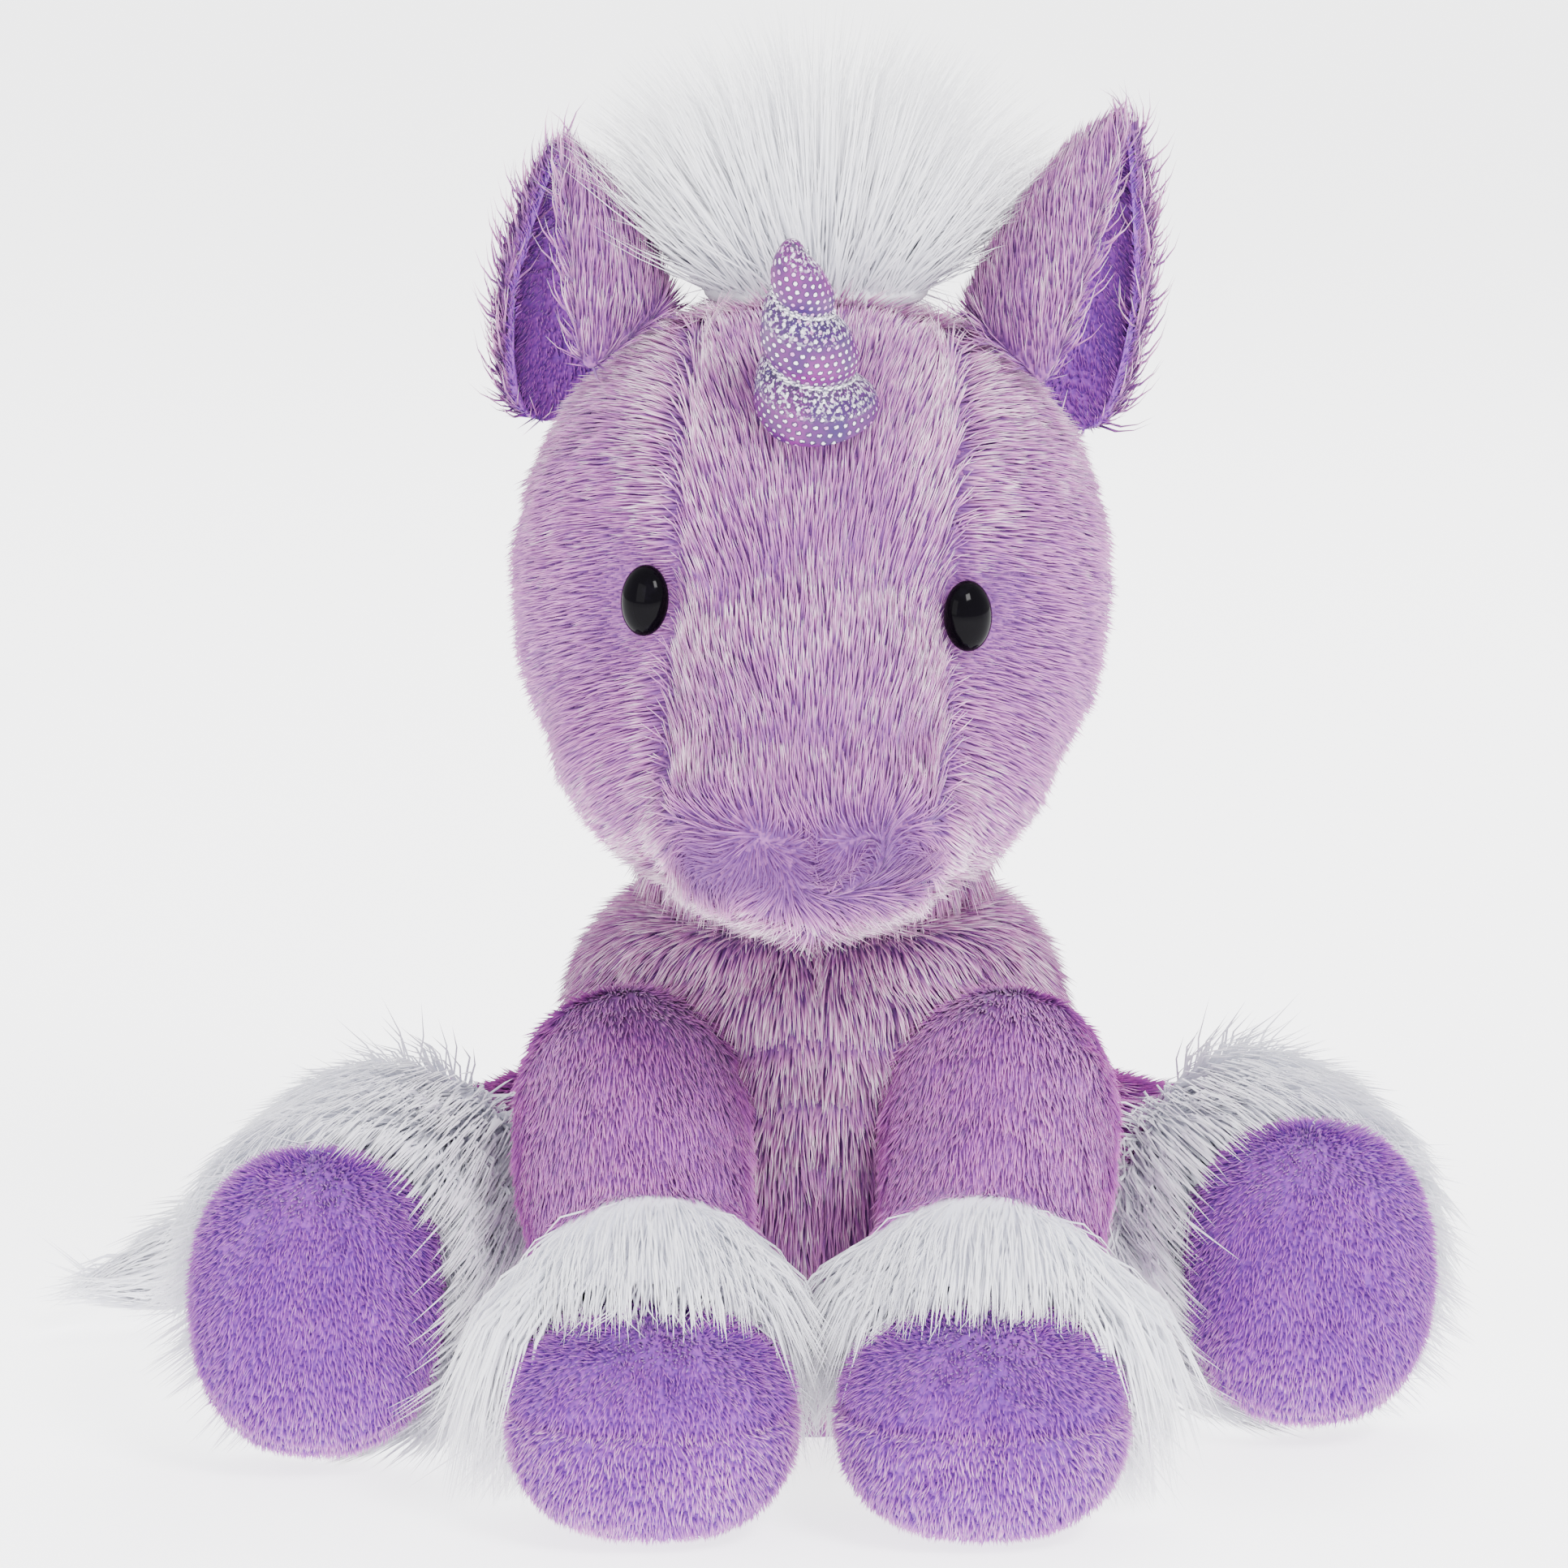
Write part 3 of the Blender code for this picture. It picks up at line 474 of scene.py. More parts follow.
def makeHairTree():
    tree = bpy.data.node_groups.new("hairs", "GeometryNodeTree")
    face = tree.interface
    plugs = dict(Geometry="Geometry", Density="Float", Length="Float", Width="Float", Segments="Int",
                 Bend="Float", Jitter="Float", Wave="Float", Wave_Size="Float", Lowest="Float",
                 Seed="Int", Material="Material")
    for name, kind in plugs.items():
        face.new_socket(name.replace("_", " "), in_out="INPUT", socket_type="NodeSocket" + kind)
    face.new_socket("Geometry", in_out="OUTPUT", socket_type="NodeSocketGeometry")
    net = Net(tree)
    entry = tree.nodes.new("NodeGroupInput")
    given = {plug.name: Sock(net, plug) for plug in entry.outputs if plug.name}

    def named(name, kind):
        return net.add("GeometryNodeInputNamedAttribute", {"data_type": kind}, {"Name": name})

    spread = tree.nodes.new("GeometryNodeDistributePointsOnFaces")
    net.feed(spread.inputs["Mesh"], given["Geometry"])
    net.feed(spread.inputs["Density"], given["Density"] * named("fill", "FLOAT"))
    net.feed(spread.inputs["Seed"], given["Seed"])
    roots = Sock(net, spread.outputs["Points"])
    out = Sock(net, spread.outputs["Normal"])
    comb = named("comb", "FLOAT_VECTOR")
    here = net.add("GeometryNodeInputPosition")

    def chance(low, high, seed, kind="FLOAT"):
        first = {"FLOAT": (2, 3, 1), "FLOAT_VECTOR": (0, 1, 0)}[kind]
        return net.add("FunctionNodeRandomValue", {"data_type": kind},
                       {first[0]: low, first[1]: high, "Seed": given["Seed"] + seed}, first[2])

    locks = net.add("ShaderNodeTexNoise", {},
                    {"Vector": here, "Scale": 1.0 / given["Wave Size"], "Detail": 1.0}, 1)
    drift = net.scaled(net.vec("SUBTRACT", locks, (0.5, 0.5, 0.5)), given["Wave"] * 2.0)
    stray = net.scaled(chance((-1, -1, -1), (1, 1, 1), 1, "FLOAT_VECTOR"), given["Jitter"])
    aim = net.vec("NORMALIZE", net.vec("ADD", net.vec("ADD", out, comb), net.vec("ADD", drift, stray)))
    lie = net.vec("ADD", comb, net.scaled(stray, 0.6))
    turn = net.add("FunctionNodeAxesToRotation", {"primary_axis": "Z", "secondary_axis": "X"},
                   {0: aim, 1: lie})

    # one hair, a metre long, thin at its tip and bowed towards the way it lies
    hair = net.add("GeometryNodeMeshCone", {"fill_type": "NGON"},
                   {"Vertices": 3, "Side Segments": given["Segments"], "Fill Segments": 1,
                    "Radius Top": 0.0, "Radius Bottom": given["Width"] / given["Length"] * 0.5,
                    "Depth": 1.0})
    left, front, height = net.parts(here)
    hair = net.add("GeometryNodeStoreNamedAttribute", {"data_type": "FLOAT", "domain": "POINT"},
                   {"Geometry": hair, "Name": "along", "Value": height})
    swell = 1.0 + height * (1.0 - height) * 2.0
    bowed = net.add("ShaderNodeCombineXYZ", {}, {
        0: left * swell + height * height * given["Bend"], 1: front * swell,
        2: height - height * height * given["Bend"] * given["Bend"] * 0.35})
    hair = net.add("GeometryNodeSetPosition", {}, {"Geometry": hair, "Position": bowed})

    size = given["Length"] * named("long", "FLOAT") * chance(0.72, 1.14, 2)
    grown = net.add("GeometryNodeInstanceOnPoints", {},
                    {"Points": roots, "Instance": hair, "Rotation": turn, "Scale": size})
    grown = net.add("GeometryNodeStoreNamedAttribute", {"data_type": "FLOAT", "domain": "INSTANCE"},
                    {"Geometry": grown, "Name": "tone", "Value": chance(0.0, 1.0, 3)})
    real = net.add("GeometryNodeRealizeInstances", {}, {"Geometry": grown})
    left, front, height = net.parts(net.add("GeometryNodeInputPosition"))
    lifted = net.add("ShaderNodeCombineXYZ", {}, {
        0: left, 1: front, 2: height.calc("MAXIMUM", height, given["Lowest"])})
    real = net.add("GeometryNodeSetPosition", {}, {"Geometry": real, "Position": lifted})
    real = net.add("GeometryNodeSetMaterial", {}, {"Geometry": real, "Material": given["Material"]})
    leave = tree.nodes.new("NodeGroupOutput")
    net.feed(leave.inputs[0], real)
    return tree


hairTree = makeHairTree()
hairInputs = {item.name: item.identifier for item in hairTree.interface.items_tree
              if item.in_out == "INPUT" and item.name != "Geometry"}
hairCount = {}

# Density is in hairs to the square metre
hairKinds = {
    "fur": dict(Density=1.85e6, Length=7.0 * mm, Width=0.64 * mm, Segments=1, Bend=0.35, Jitter=0.2,
                Wave=0.55, Wave_Size=6 * mm),
    "velvet": dict(Density=1.9e6, Length=4.4 * mm, Width=0.56 * mm, Segments=1, Bend=0.4, Jitter=0.25,
                   Wave=0.55, Wave_Size=6 * mm),
    "suede": dict(Density=2.0e6, Length=2.4 * mm, Width=0.54 * mm, Segments=1, Bend=0.0, Jitter=0.3,
                  Wave=0.7, Wave_Size=5 * mm),
    "pile": dict(Density=0.9e6, Length=18 * mm, Width=0.54 * mm, Segments=2, Bend=0.4, Jitter=0.22,
                 Wave=0.8, Wave_Size=10 * mm),
    "tuft": dict(Density=4.9e6, Length=46 * mm, Width=0.38 * mm, Segments=3, Bend=0.25, Jitter=0.24,
                 Wave=0.6, Wave_Size=8 * mm),
}


def growHair(skin, name, kind, colour, comb, fill, long, body, frostAndShading, seed, **changes):
    # a coat of hair on skin, as a piece of its own
    coat = addObject(name, skin.data.copy())
    paint(coat, "comb", comb)
    for layer, weights in (("fill", fill), ("long", long), ("frostAndShading", frostAndShading)):
        paint(coat, layer, np.broadcast_to(weights, len(skin.data.vertices)))
    coat.data.materials.clear()
    mod = coat.modifiers.new("hairs", "NODES")
    mod.node_group = hairTree
    values = dict(hairKinds[kind], Lowest=floorHeight, Seed=seed, Material=hairMats[colour])
    values.update(changes)
    for key, value in values.items():
        mod[hairInputs[key.replace("_", " ")]] = value
    settled(coat)
    layers = coat.data.attributes
    for layer in [a.name for a in layers if a.name in ("comb", "fill", "long", "UVMap")]:
        layers.remove(layers[layer])
    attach(coat, body)
    coat.data.calc_loop_triangles()
    hairCount[name] = len(coat.data.loop_triangles)


def finishSkin(skin, colour, body, replaced, fill):
    skin.data.materials.clear()
    skin.data.materials.append(skinMats[colour])
    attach(skin, body)
    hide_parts(*replaced)


def boxOf(*names):
    corners = [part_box(name) for name in names]
    low = np.min([np.array(c[0]) for c in corners], axis=0)
    high = np.max([np.array(c[1]) for c in corners], axis=0)
    return low, high


headLook = dict(voxel=2.6 * mm, smooth=22, seamWidth=3.0 * mm, groove=0.7 * mm, cap=2.5 * mm, fill=0.8,
                parting=12 * mm, faceHalf=26 * mm, noseRise=11 * mm, noseSpan=7 * mm,
                noseFront=(60 * mm, 68 * mm), lowFace=(10 * mm, 24 * mm), highlightDrop=52 * mm,
                highlightSpan=8 * mm, eyeStretch=[1.25, 0.6, 0.92], eyeBare=(4.6 * mm, 6.4 * mm),
                eyeShort=(6 * mm, 16 * mm), combing=1.25)


def headComb(co, normal, across, height, panel, nearSeam, nose, chinHeight):
    # up the face from the nose, back over the cheeks and the crown, swirled on the nose
    onFace, onSides = panel == 2, panel < 2
    side = np.sign(across)
    lowFace = 1 - ramp(co[:, 2], *(chinHeight + rise for rise in headLook["lowFace"]))
    crown = ramp(height, 0.72, 0.92) * onSides
    lean = np.zeros_like(co)
    lean[:, 2] = np.where(onFace, 1.0 - 1.6 * lowFace, -0.25 - 0.55 * ramp(0.55 - height, 0.0, 0.4))
    lean[:, 0] = np.where(onFace, across / headLook["faceHalf"] * 0.55, side * 0.9)
    lean[:, 0] += side * 0.4 * nearSeam * onSides
    lean[:, 1] = np.where(onSides, 0.55, 0.0)
    lean[:, 2] -= 0.2 * crown
    lean[:, 1] += 0.5 * crown
    comb = unit(acrossSurface(lean, normal))
    whorl = (1.9 * np.sin(across / (6.5 * mm) + 0.8)
             + 1.3 * np.cos(co[:, 2] / (5 * mm) + across / (8 * mm))
             + 0.8 * np.sin(across / (2.6 * mm) - co[:, 2] / (3.1 * mm)))
    swirl = np.stack([np.cos(whorl), np.zeros(len(co)), 0.7 * np.sin(whorl) - 0.25], axis=1)
    swirl = unit(acrossSurface(swirl, normal))
    return unit(comb * (1 - nose)[:, None] + swirl * nose[:, None])


def makeHead():
    panels = ["head_side_left", "head_side_right", "face_gusset", "chin_panel"]
    skin = remeshed(gather("headSkin", panels + ["head_stuffing"]), headLook["voxel"], headLook["smooth"])
    inflate(skin, heldAt(panelsOf(skin, panels)[1], headLook["seamWidth"]), headLook["cap"])
    refined(skin)
    panel, gap = panelsOf(skin, panels)
    sunk = headLook["groove"] * seamOf(gap, headLook["seamWidth"])
    movePoints(skin, points(skin) - normals(skin) * sunk[:, None])
    co = points(skin)
    normal = normals(skin)
    low, high = boxOf("head_side_left", "head_side_right")
    faceLow, faceHigh = boxOf("face_gusset")
    across = co[:, 0] - (faceLow[0] + faceHigh[0]) / 2
    height = (co[:, 2] - low[2]) / (high[2] - low[2])
    nearSeam = seamOf(gap, headLook["parting"])
    nose = (bell(co[:, 2], faceLow[2] + headLook["noseRise"], headLook["noseSpan"])
            * ramp(-co[:, 1], *headLook["noseFront"]) * (panel == 2))
    comb = headComb(co, normal, across, height, panel, nearSeam, nose, faceLow[2])
    eyes = [np.array(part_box("eye_" + name)).mean(axis=0) for name in ("left", "right")]
    toEye = np.min([np.linalg.norm((co - eye) * headLook["eyeStretch"], axis=1) for eye in eyes], axis=0)
    clear = ramp(toEye, *headLook["eyeBare"])
    long = (0.8 + 0.3 * ramp(co[:, 1], -20 * mm, 10 * mm) + 0.15 * nearSeam - 0.2 * nose) * (
        0.5 + 0.5 * ramp(toEye, *headLook["eyeShort"]))
    # painted highlight: a band of paler hair tips across the bridge of the nose, where light from above
    # falls on hair that points up
    bridgeHighlight = bell(co[:, 2], faceHigh[2] - headLook["highlightDrop"], headLook["highlightSpan"]) * (panel == 2)
    # paler hair tips, with painted light mixed in: raised on the bridge band as painted highlight, at the
    # seams, the crown and the chin; lowered on the cheeks of the side panels as painted shade, and on the
    # nose partly for its darker whorl and partly as painted shade
    frostAndShading = (0.5 * bridgeHighlight + 0.4 * nearSeam + 0.35 * ramp(height, 0.7, 0.95) - 1.6 * nose
             + 0.4 * (1 - ramp(height, 0.1, 0.28)) - 0.55 * bell(height, 0.45, 0.22) * (panel < 2))
    finishSkin(skin, "lavender", "head", panels, headLook["fill"])
    for index, part in enumerate(("Left", "Right", "Face", "Chin")):
        growHair(skin, "headFur" + part, "fur", "lavender", comb * headLook["combing"],
                 (panel == index) * clear, long, "head", frostAndShading, 10 + index)


makeHead()
print("head done", hairCount)

torsoLook = dict(voxel=3.2 * mm, smooth=10, cap=2.5 * mm, fill=0.5, seamWidth=3 * mm, groove=0.8 * mm,
                 seatHeld=6 * mm, chest=(45 * mm, 58 * mm), roll=0.9 * mm, rollGap=12 * mm,
                 parting=(5 * mm, 30 * mm), bareFoot=(4 * mm, 8 * mm), paleFrom=60 * mm, combing=1.2)


def makeTorso():
    sides = ["torso_side_left", "torso_side_right"]
    skin = hullOf("torsoSkin", sides + ["seat_panel"])
    remeshed(skin, torsoLook["voxel"], torsoLook["smooth"])
    low, high = boxOf(*sides)
    seat = 1 - ramp(points(skin)[:, 2], low[2], low[2] + torsoLook["seatHeld"])
    held = heldAt(panelsOf(skin, sides)[1], torsoLook["seamWidth"])
    inflate(skin, np.maximum(held * 0.7, seat), torsoLook["cap"])
    refined(skin)
    panel, gap = panelsOf(skin, sides)
    co = points(skin)
    normal = normals(skin)
    chest = ramp(-normal[:, 1], 0.1, 0.7) * ramp(co[:, 2], *(low[2] + rise for rise in torsoLook["chest"]))
    rolls = np.cos(2 * math.pi * (co[:, 2] + 0.15 * np.abs(co[:, 0])) / torsoLook["rollGap"])
    sunk = torsoLook["groove"] * seamOf(gap, torsoLook["seamWidth"])
    co = co + normal * (torsoLook["roll"] * chest * rolls - sunk)[:, None]
    co[:, 2] = np.maximum(co[:, 2], floorHeight)
    movePoints(skin, co)
    normal = normals(skin)
    field = np.tile([0.0, 0.0, -1.0], (len(co), 1))
    field[:, 0] = np.sign(co[:, 0]) * 0.45 * ramp(np.abs(co[:, 0]), *torsoLook["parting"])
    comb = unit(acrossSurface(field, normal)) * torsoLook["combing"]
    fill = ramp(co[:, 2], *torsoLook["bareFoot"])
    frostAndShading = 0.55 * chest + 0.25 * ramp(co[:, 2], low[2] + torsoLook["paleFrom"], high[2])
    finishSkin(skin, "lavender", "torso", sides, torsoLook["fill"])
    for index, part in enumerate(("Left", "Right")):
        growHair(skin, "torsoFur" + part, "fur", "lavender", comb, (panel == index) * fill, 1.0, "torso",
                 frostAndShading, 20 + index)


neckLook = dict(voxel=3 * mm, smooth=4, cap=1.5 * mm, fill=0.5, foot=4 * mm, top=6 * mm, combing=1.32,
                long=1.5, density=1.5e6)


def makeNeck():
    skin = remeshed(gather("neckSkin", ["neck_cover", "neck_stuffing"]),
                    neckLook["voxel"], neckLook["smooth"])
    inflate(skin, np.zeros(len(skin.data.vertices)), neckLook["cap"])
    co = points(skin)
    low, high = boxOf("neck_cover")
    down = np.tile([0.0, 0.0, -1.0], (len(co), 1))
    comb = unit(acrossSurface(down, normals(skin))) * neckLook["combing"]
    fill = (ramp(co[:, 2], low[2] - neckLook["foot"], low[2] + neckLook["foot"])
            * (1 - ramp(co[:, 2], high[2] - neckLook["top"], high[2])))
    finishSkin(skin, "lavender", "neck", ["neck_cover"], neckLook["fill"])
    growHair(skin, "neckFur", "fur", "lavender", comb, fill, neckLook["long"], "neck", 0.15, 30,
             Density=neckLook["density"])


makeTorso()
makeNeck()
print("torso done")

legLook = dict(voxel={"fore": 2.6 * mm, "rear": 2.8 * mm}, smooth=6, cap=1.8 * mm, fill=0.6,
               seamWidth=3 * mm, pileOver=(8 * mm, 13 * mm), skirtDensity=1.2e6, pileDensity=0.85e6)


def makeLegSkin(prefix, side, panels):
    skin = remeshed(gather(prefix + "LegSkin_" + side, panels + [prefix + "_leg_filling_" + side]),
                    legLook["voxel"][prefix], legLook["smooth"])
    inflate(skin, heldAt(panelsOf(skin, panels)[1], legLook["seamWidth"]), legLook["cap"])
    refined(skin)
    panel, gap = panelsOf(skin, panels)
    low, high = boxOf(panels[0])
    root = (low + high) / 2
    low, high = boxOf(prefix + "_hoof_filling_" + side)
    along = (low + high) / 2 - root
    along = along / np.linalg.norm(along)
    paint(skin, "pale", (panel == 1) * 1.0)
    finishSkin(skin, "lilac", prefix + "_leg_" + side, panels, legLook["fill"])
    return skin, panel, gap, root, along


def makeForeLeg(side):
    panels = ["fore_sleeve_" + side, "fore_cuff_" + side]
    body = "fore_leg_" + side
    skin, panel, gap, root, along = makeLegSkin("fore", side, panels)
    co = points(skin)
    normal = normals(skin)
    field = np.tile(along, (len(co), 1))
    growHair(skin, "foreVelvet_" + side, "velvet", "lilac", unit(acrossSurface(field, normal)) * 1.3,
             (panel == 0) * 1.0, 1.0, body, 0.0, 40)
    # the white band's hair hangs over the hoof in front and stands out to the floor beside it
    away = unit(co - (root + np.outer((co - root) @ along, along)))
    below = ramp(-away[:, 2], -0.1, 0.6)
    hang = unit(field * 0.9 + np.array([0.0, 0.0, -0.55])) * 1.5 + away * 0.1
    onBand = (panel == 1) * (1 - ramp(-(normal @ along), 0.15, 0.45))
    growHair(skin, "cuffHair_" + side, "pile", "white", acrossSurface(hang, normal), onBand,
             0.8 + 0.3 * below, body, 0.2, 44)
    flank = onBand * ramp(np.abs(away[:, 0]), 0.45, 0.75)
    outer = ramp(away[:, 0] * (1.0 if side == "left" else -1.0), 0.2, 0.7)
    skirt = np.array([0.0, -0.15, -1.25]) + away * np.array([0.45, 0.1, 0.1])
    growHair(skin, "cuffSkirt_" + side, "pile", "white", skirt, flank, 1.25 + 0.55 * outer, body, 0.1, 46,
             Density=legLook["skirtDensity"], Bend=0.5, Jitter=0.26)


def makeRearLeg(side):
    panels = ["rear_thigh_" + side, "rear_pile_" + side]
    body = "rear_leg_" + side
    skin, panel, gap, root, along = makeLegSkin("rear", side, panels)
    normal = normals(skin)
    field = np.tile(along, (len(normal), 1))
    growHair(skin, "thighVelvet_" + side, "velvet", "lilac", unit(acrossSurface(field, normal)) * 1.2,
             (panel == 0) * 1.0, 1.3, body, 0.1, 50)
    # the long pile reaches a little over the thigh's seam
    hang = acrossSurface(field * 1.25 + np.array([0.0, -0.25, -0.5]), normal)
    inner = ramp(-normal[:, 0] * (1.0 if side == "left" else -1.0), -0.2, 0.6)
    over = np.maximum((panel == 1) * 1.0, 1 - ramp(gap, *legLook["pileOver"]))
    onBand = over * (1 - ramp(-(normal @ along), 0.35, 0.65))
    growHair(skin, "rearPileHair_" + side, "pile", "white", hang, onBand,
             0.85 + 0.45 * inner - 0.12 * ramp(normal[:, 2], 0.3, 0.9), body, 0.1, 54,
             Density=legLook["pileDensity"], Jitter=0.16)


hoofLook = dict(voxel=2.0 * mm, smooth=4, cap=1.6 * mm, fill=0.8, held=2.4 * mm, seamWidth=2.0 * mm,
                groove=0.8 * mm, spread=20 * mm, combing=0.9)


def makeHoof(prefix, side):
    panels = [prefix + "_hoof_upper_" + side, prefix + "_hoof_sole_" + side]
    body = prefix + "_hoof_" + side
    skin = remeshed(gather(body + "Skin", panels + [prefix + "_hoof_filling_" + side]),
                    hoofLook["voxel"], hoofLook["smooth"])
    inflate(skin, heldAt(panelsOf(skin, panels)[1], hoofLook["held"]), hoofLook["cap"])
    refined(skin)
    panel, gap = panelsOf(skin, panels)
    seam = seamOf(gap, hoofLook["seamWidth"])
    co = points(skin) - normals(skin) * (hoofLook["groove"] * seam)[:, None]
    co[:, 2] = np.maximum(co[:, 2], floorHeight)
    movePoints(skin, co)
    low, high = boxOf(*panels)
    middle = (low + high) / 2
    field = (co - middle) * np.array([0.5, 0.5, 0.0]) / hoofLook["spread"] + np.array([0.0, 0.0, -1.0])
    comb = unit(acrossSurface(field, normals(skin))) * hoofLook["combing"]
    lower = (panel == 1) * 1.0 if prefix == "fore" else 1 - ramp(co[:, 2], low[2], middle[2])
    frostAndShading = -0.12 + 0.42 * lower + 0.3 * seam
    finishSkin(skin, "purple", body, panels, hoofLook["fill"])
    growHair(skin, body + "Pile", "suede", "purple", comb, 1.0, 1.0, body, frostAndShading, 60)


for side in ("left", "right"):
    makeForeLeg(side)
    makeRearLeg(side)
    makeHoof("fore", side)
    makeHoof("rear", side)
print("legs done")

earLook = dict(levels=2, fill=0.3, combing=1.1, backLong=0.68, liningLong=0.85,
               fringe=dict(Density=0.8e6, Width=0.44 * mm, Jitter=0.4, Segments=3, Bend=0.6))


def thickSheet(name, node):
    ob = gather(name, [node])
    mesh = bmesh.new()
    mesh.from_mesh(ob.data)
    bmesh.ops.dissolve_limit(mesh, angle_limit=math.radians(2), verts=mesh.verts, edges=mesh.edges)
    mesh.to_mesh(ob.data)
    mesh.free()
    refined(ob, earLook["levels"])
    return shadedSmooth(ob)


def makeEar(side):
    back, lining, body = "ear_back_" + side, "ear_lining_" + side, "ear_" + side
    for node, facingNode, colour, kind, long, frostAndShading in (
            (back, lining, "lavender", "fur", earLook["backLong"], 0.15),
            (lining, back, "purple", "suede", earLook["liningLong"], -0.3)):
        skin = thickSheet(node + "Skin", node)
        co = points(skin)
        normal = normals(skin)
        # hair grows on the side that is turned away from the other layer
        other = nodeTree(facingNode)
        facing = np.array([(other.find_nearest(Vector(p))[0] - Vector(p)).normalized() for p in co])
        turned = np.sum(facing * normal, axis=1)
        comb = unit(acrossSurface(np.tile([0.0, 0.0, 1.0], (len(co), 1)), normal))
        finishSkin(skin, colour, body, [node], earLook["fill"])
        growHair(skin, node + "Hair", kind, colour, comb * earLook["combing"], (turned < 0.5) * 1.0,
                 long, body, frostAndShading, 70)
        if node == back:
            rim = ramp(0.75 - np.abs(turned), 0.0, 0.5)
            growHair(skin, node + "Fringe", "fur", colour, comb * 0.5 + [0.0, 0.0, 0.2], rim, 1.25, body,
                     0.6, 72, **earLook["fringe"])


for side in ("left", "right"):
    makeEar(side)
print("ears done")

forelockLook = dict(half=(20 * mm, 10 * mm, 5 * mm), shift=(-1 * mm, -2 * mm, 1 * mm), across=40, rings=20,
                    fill=0.4, under=dict(Density=3.5e6, Width=0.54 * mm, Jitter=0.45, Segments=3))


def makeForelock():
    low, high = boxOf("forelock")
    middle = (low + high) / 2
    half = np.array(forelockLook["half"])
    seat = np.array([middle[0], middle[1], low[2]]) + forelockLook["shift"]
    foot = ballOf("forelockFoot", forelockLook["across"], forelockLook["rings"], half,
                  Matrix.Translation(Vector(seat)))
    co = points(foot)
    normal = normals(foot)
    fan = (co - co.mean(axis=0)) / half
    spread = [fan[:, 0] * 1.15, fan[:, 1] * 0.5 + 0.1, 1.25 - 0.35 * fan[:, 0] ** 2]
    comb = np.stack(spread, axis=1) - normal * 0.75
    fill = ramp(normal[:, 2], 0.0, 0.35)
    long = 0.95 - 0.28 * fan[:, 0] ** 2
    finishSkin(foot, "white", "head", ["forelock"], forelockLook["fill"])
    growHair(foot, "forelockHair", "tuft", "white", comb, fill, long, "head", 0.3, 80)
    growHair(foot, "forelockUnder", "tuft", "white", comb * 0.8, fill, 0.55, "head", 0.3, 81,
             **forelockLook["under"])


lockLook = dict(voxel=2.5 * mm, cap=1.0 * mm, fill=0.4, maneLong=1.15, tailLong=1.1)


def makeLockSkin(name, node, smooth):
    skin = remeshed(gather(name, [node]), lockLook["voxel"], smooth)
    inflate(skin, np.zeros(len(skin.data.vertices)), lockLook["cap"])
    return skin, points(skin), normals(skin)


def makeMane():
    skin, co, normal = makeLockSkin("maneStrip", "mane", 6)
    side = np.zeros_like(co)
    side[:, 0] = np.sign(co[:, 0] - co[:, 0].mean()) * 0.5
    comb = acrossSurface(np.array([0.0, 0.25, -1.0]) + side, normal) * 1.2
    fill = ramp(normal[:, 1] + normal[:, 2] * 0.5, -0.5, 0.0)
    finishSkin(skin, "white", "head", ["mane"], lockLook["fill"])
    growHair(skin, "maneHair", "pile", "white", comb, fill, lockLook["maneLong"], "head", 0.2, 84)


def makeTail():
    skin, co, normal = makeLockSkin("tailCore", "tail", 4)
    low, high = boxOf("tail")
    # the tail runs to the toy's right along a bow, so hair follows the bow's tangent
    share = (high[0] - co[:, 0]) / (high[0] - low[0])
    tangent = np.stack([-np.ones(len(co)), 0.9 - 1.9 * share, -0.25 * (1 - share)], axis=1)
    comb = acrossSurface(unit(tangent), normal) * 1.9
    finishSkin(skin, "white", "tail", ["tail"], lockLook["fill"])
    growHair(skin, "tailHair", "pile", "white", comb, 1.0, lockLook["tailLong"], "tail", 0.1, 88)


makeForelock()
makeMane()
makeTail()
print("white hair done")

eyeLook = dict(half=(4.5 * mm, 6.2 * mm, 3.4 * mm), across=48, rings=24, reach=8.2 * mm, headLift=1 * mm,
               tipPoints=6, crownPoints=24)


def makeEye(side):
    guide = gather("eyeGuide", ["eye_" + side])
    co = points(guide)
    bpy.data.objects.remove(guide)
    low, high = boxOf("head_side_left", "head_side_right")
    heart = np.array([(low[0] + high[0]) / 2, 0.0, (low[2] + high[2]) / 2 + eyeLook["headLift"]])
    # the shank runs in along the eye's own axis, so its tip and the dome's crown give that axis
    order = np.argsort(np.linalg.norm(co - heart, axis=1))
    tip = co[order[:eyeLook["tipPoints"]]].mean(axis=0)
    crown = co[order[-eyeLook["crownPoints"]:]].mean(axis=0)
    axis = Vector(crown - tip).normalized()
    right = Vector((0, 0, 1)).cross(axis).normalized()
    turn = Matrix((right, axis.cross(right), axis)).transposed().to_4x4()
    seat = Matrix.Translation(Vector(tip) + axis * eyeLook["reach"])
    dome = ballOf("eyeDome_" + side, eyeLook["across"], eyeLook["rings"], eyeLook["half"], seat @ turn)
    dome.data.materials.append(eyeBlack)
    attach(dome, "head")
    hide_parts("eye_" + side)


for side in ("left", "right"):
    makeEye(side)
print("eyes done")

hornLook = dict(turns=2.7, rows=110, sides=108, waist=0.25, groove=0.34, taper=0.66, tip=0.02 * mm,
                dotGap=1.75 * mm, rowGap=0.82, dotSize=0.5 * mm, hemBelow=0.4, hemAbove=0.06, fill=0.9)
threadLook = dict(steps=520, sides=6, thick=0.3 * mm, start=0.03, run=0.87, twist=0.42, sway=0.006)


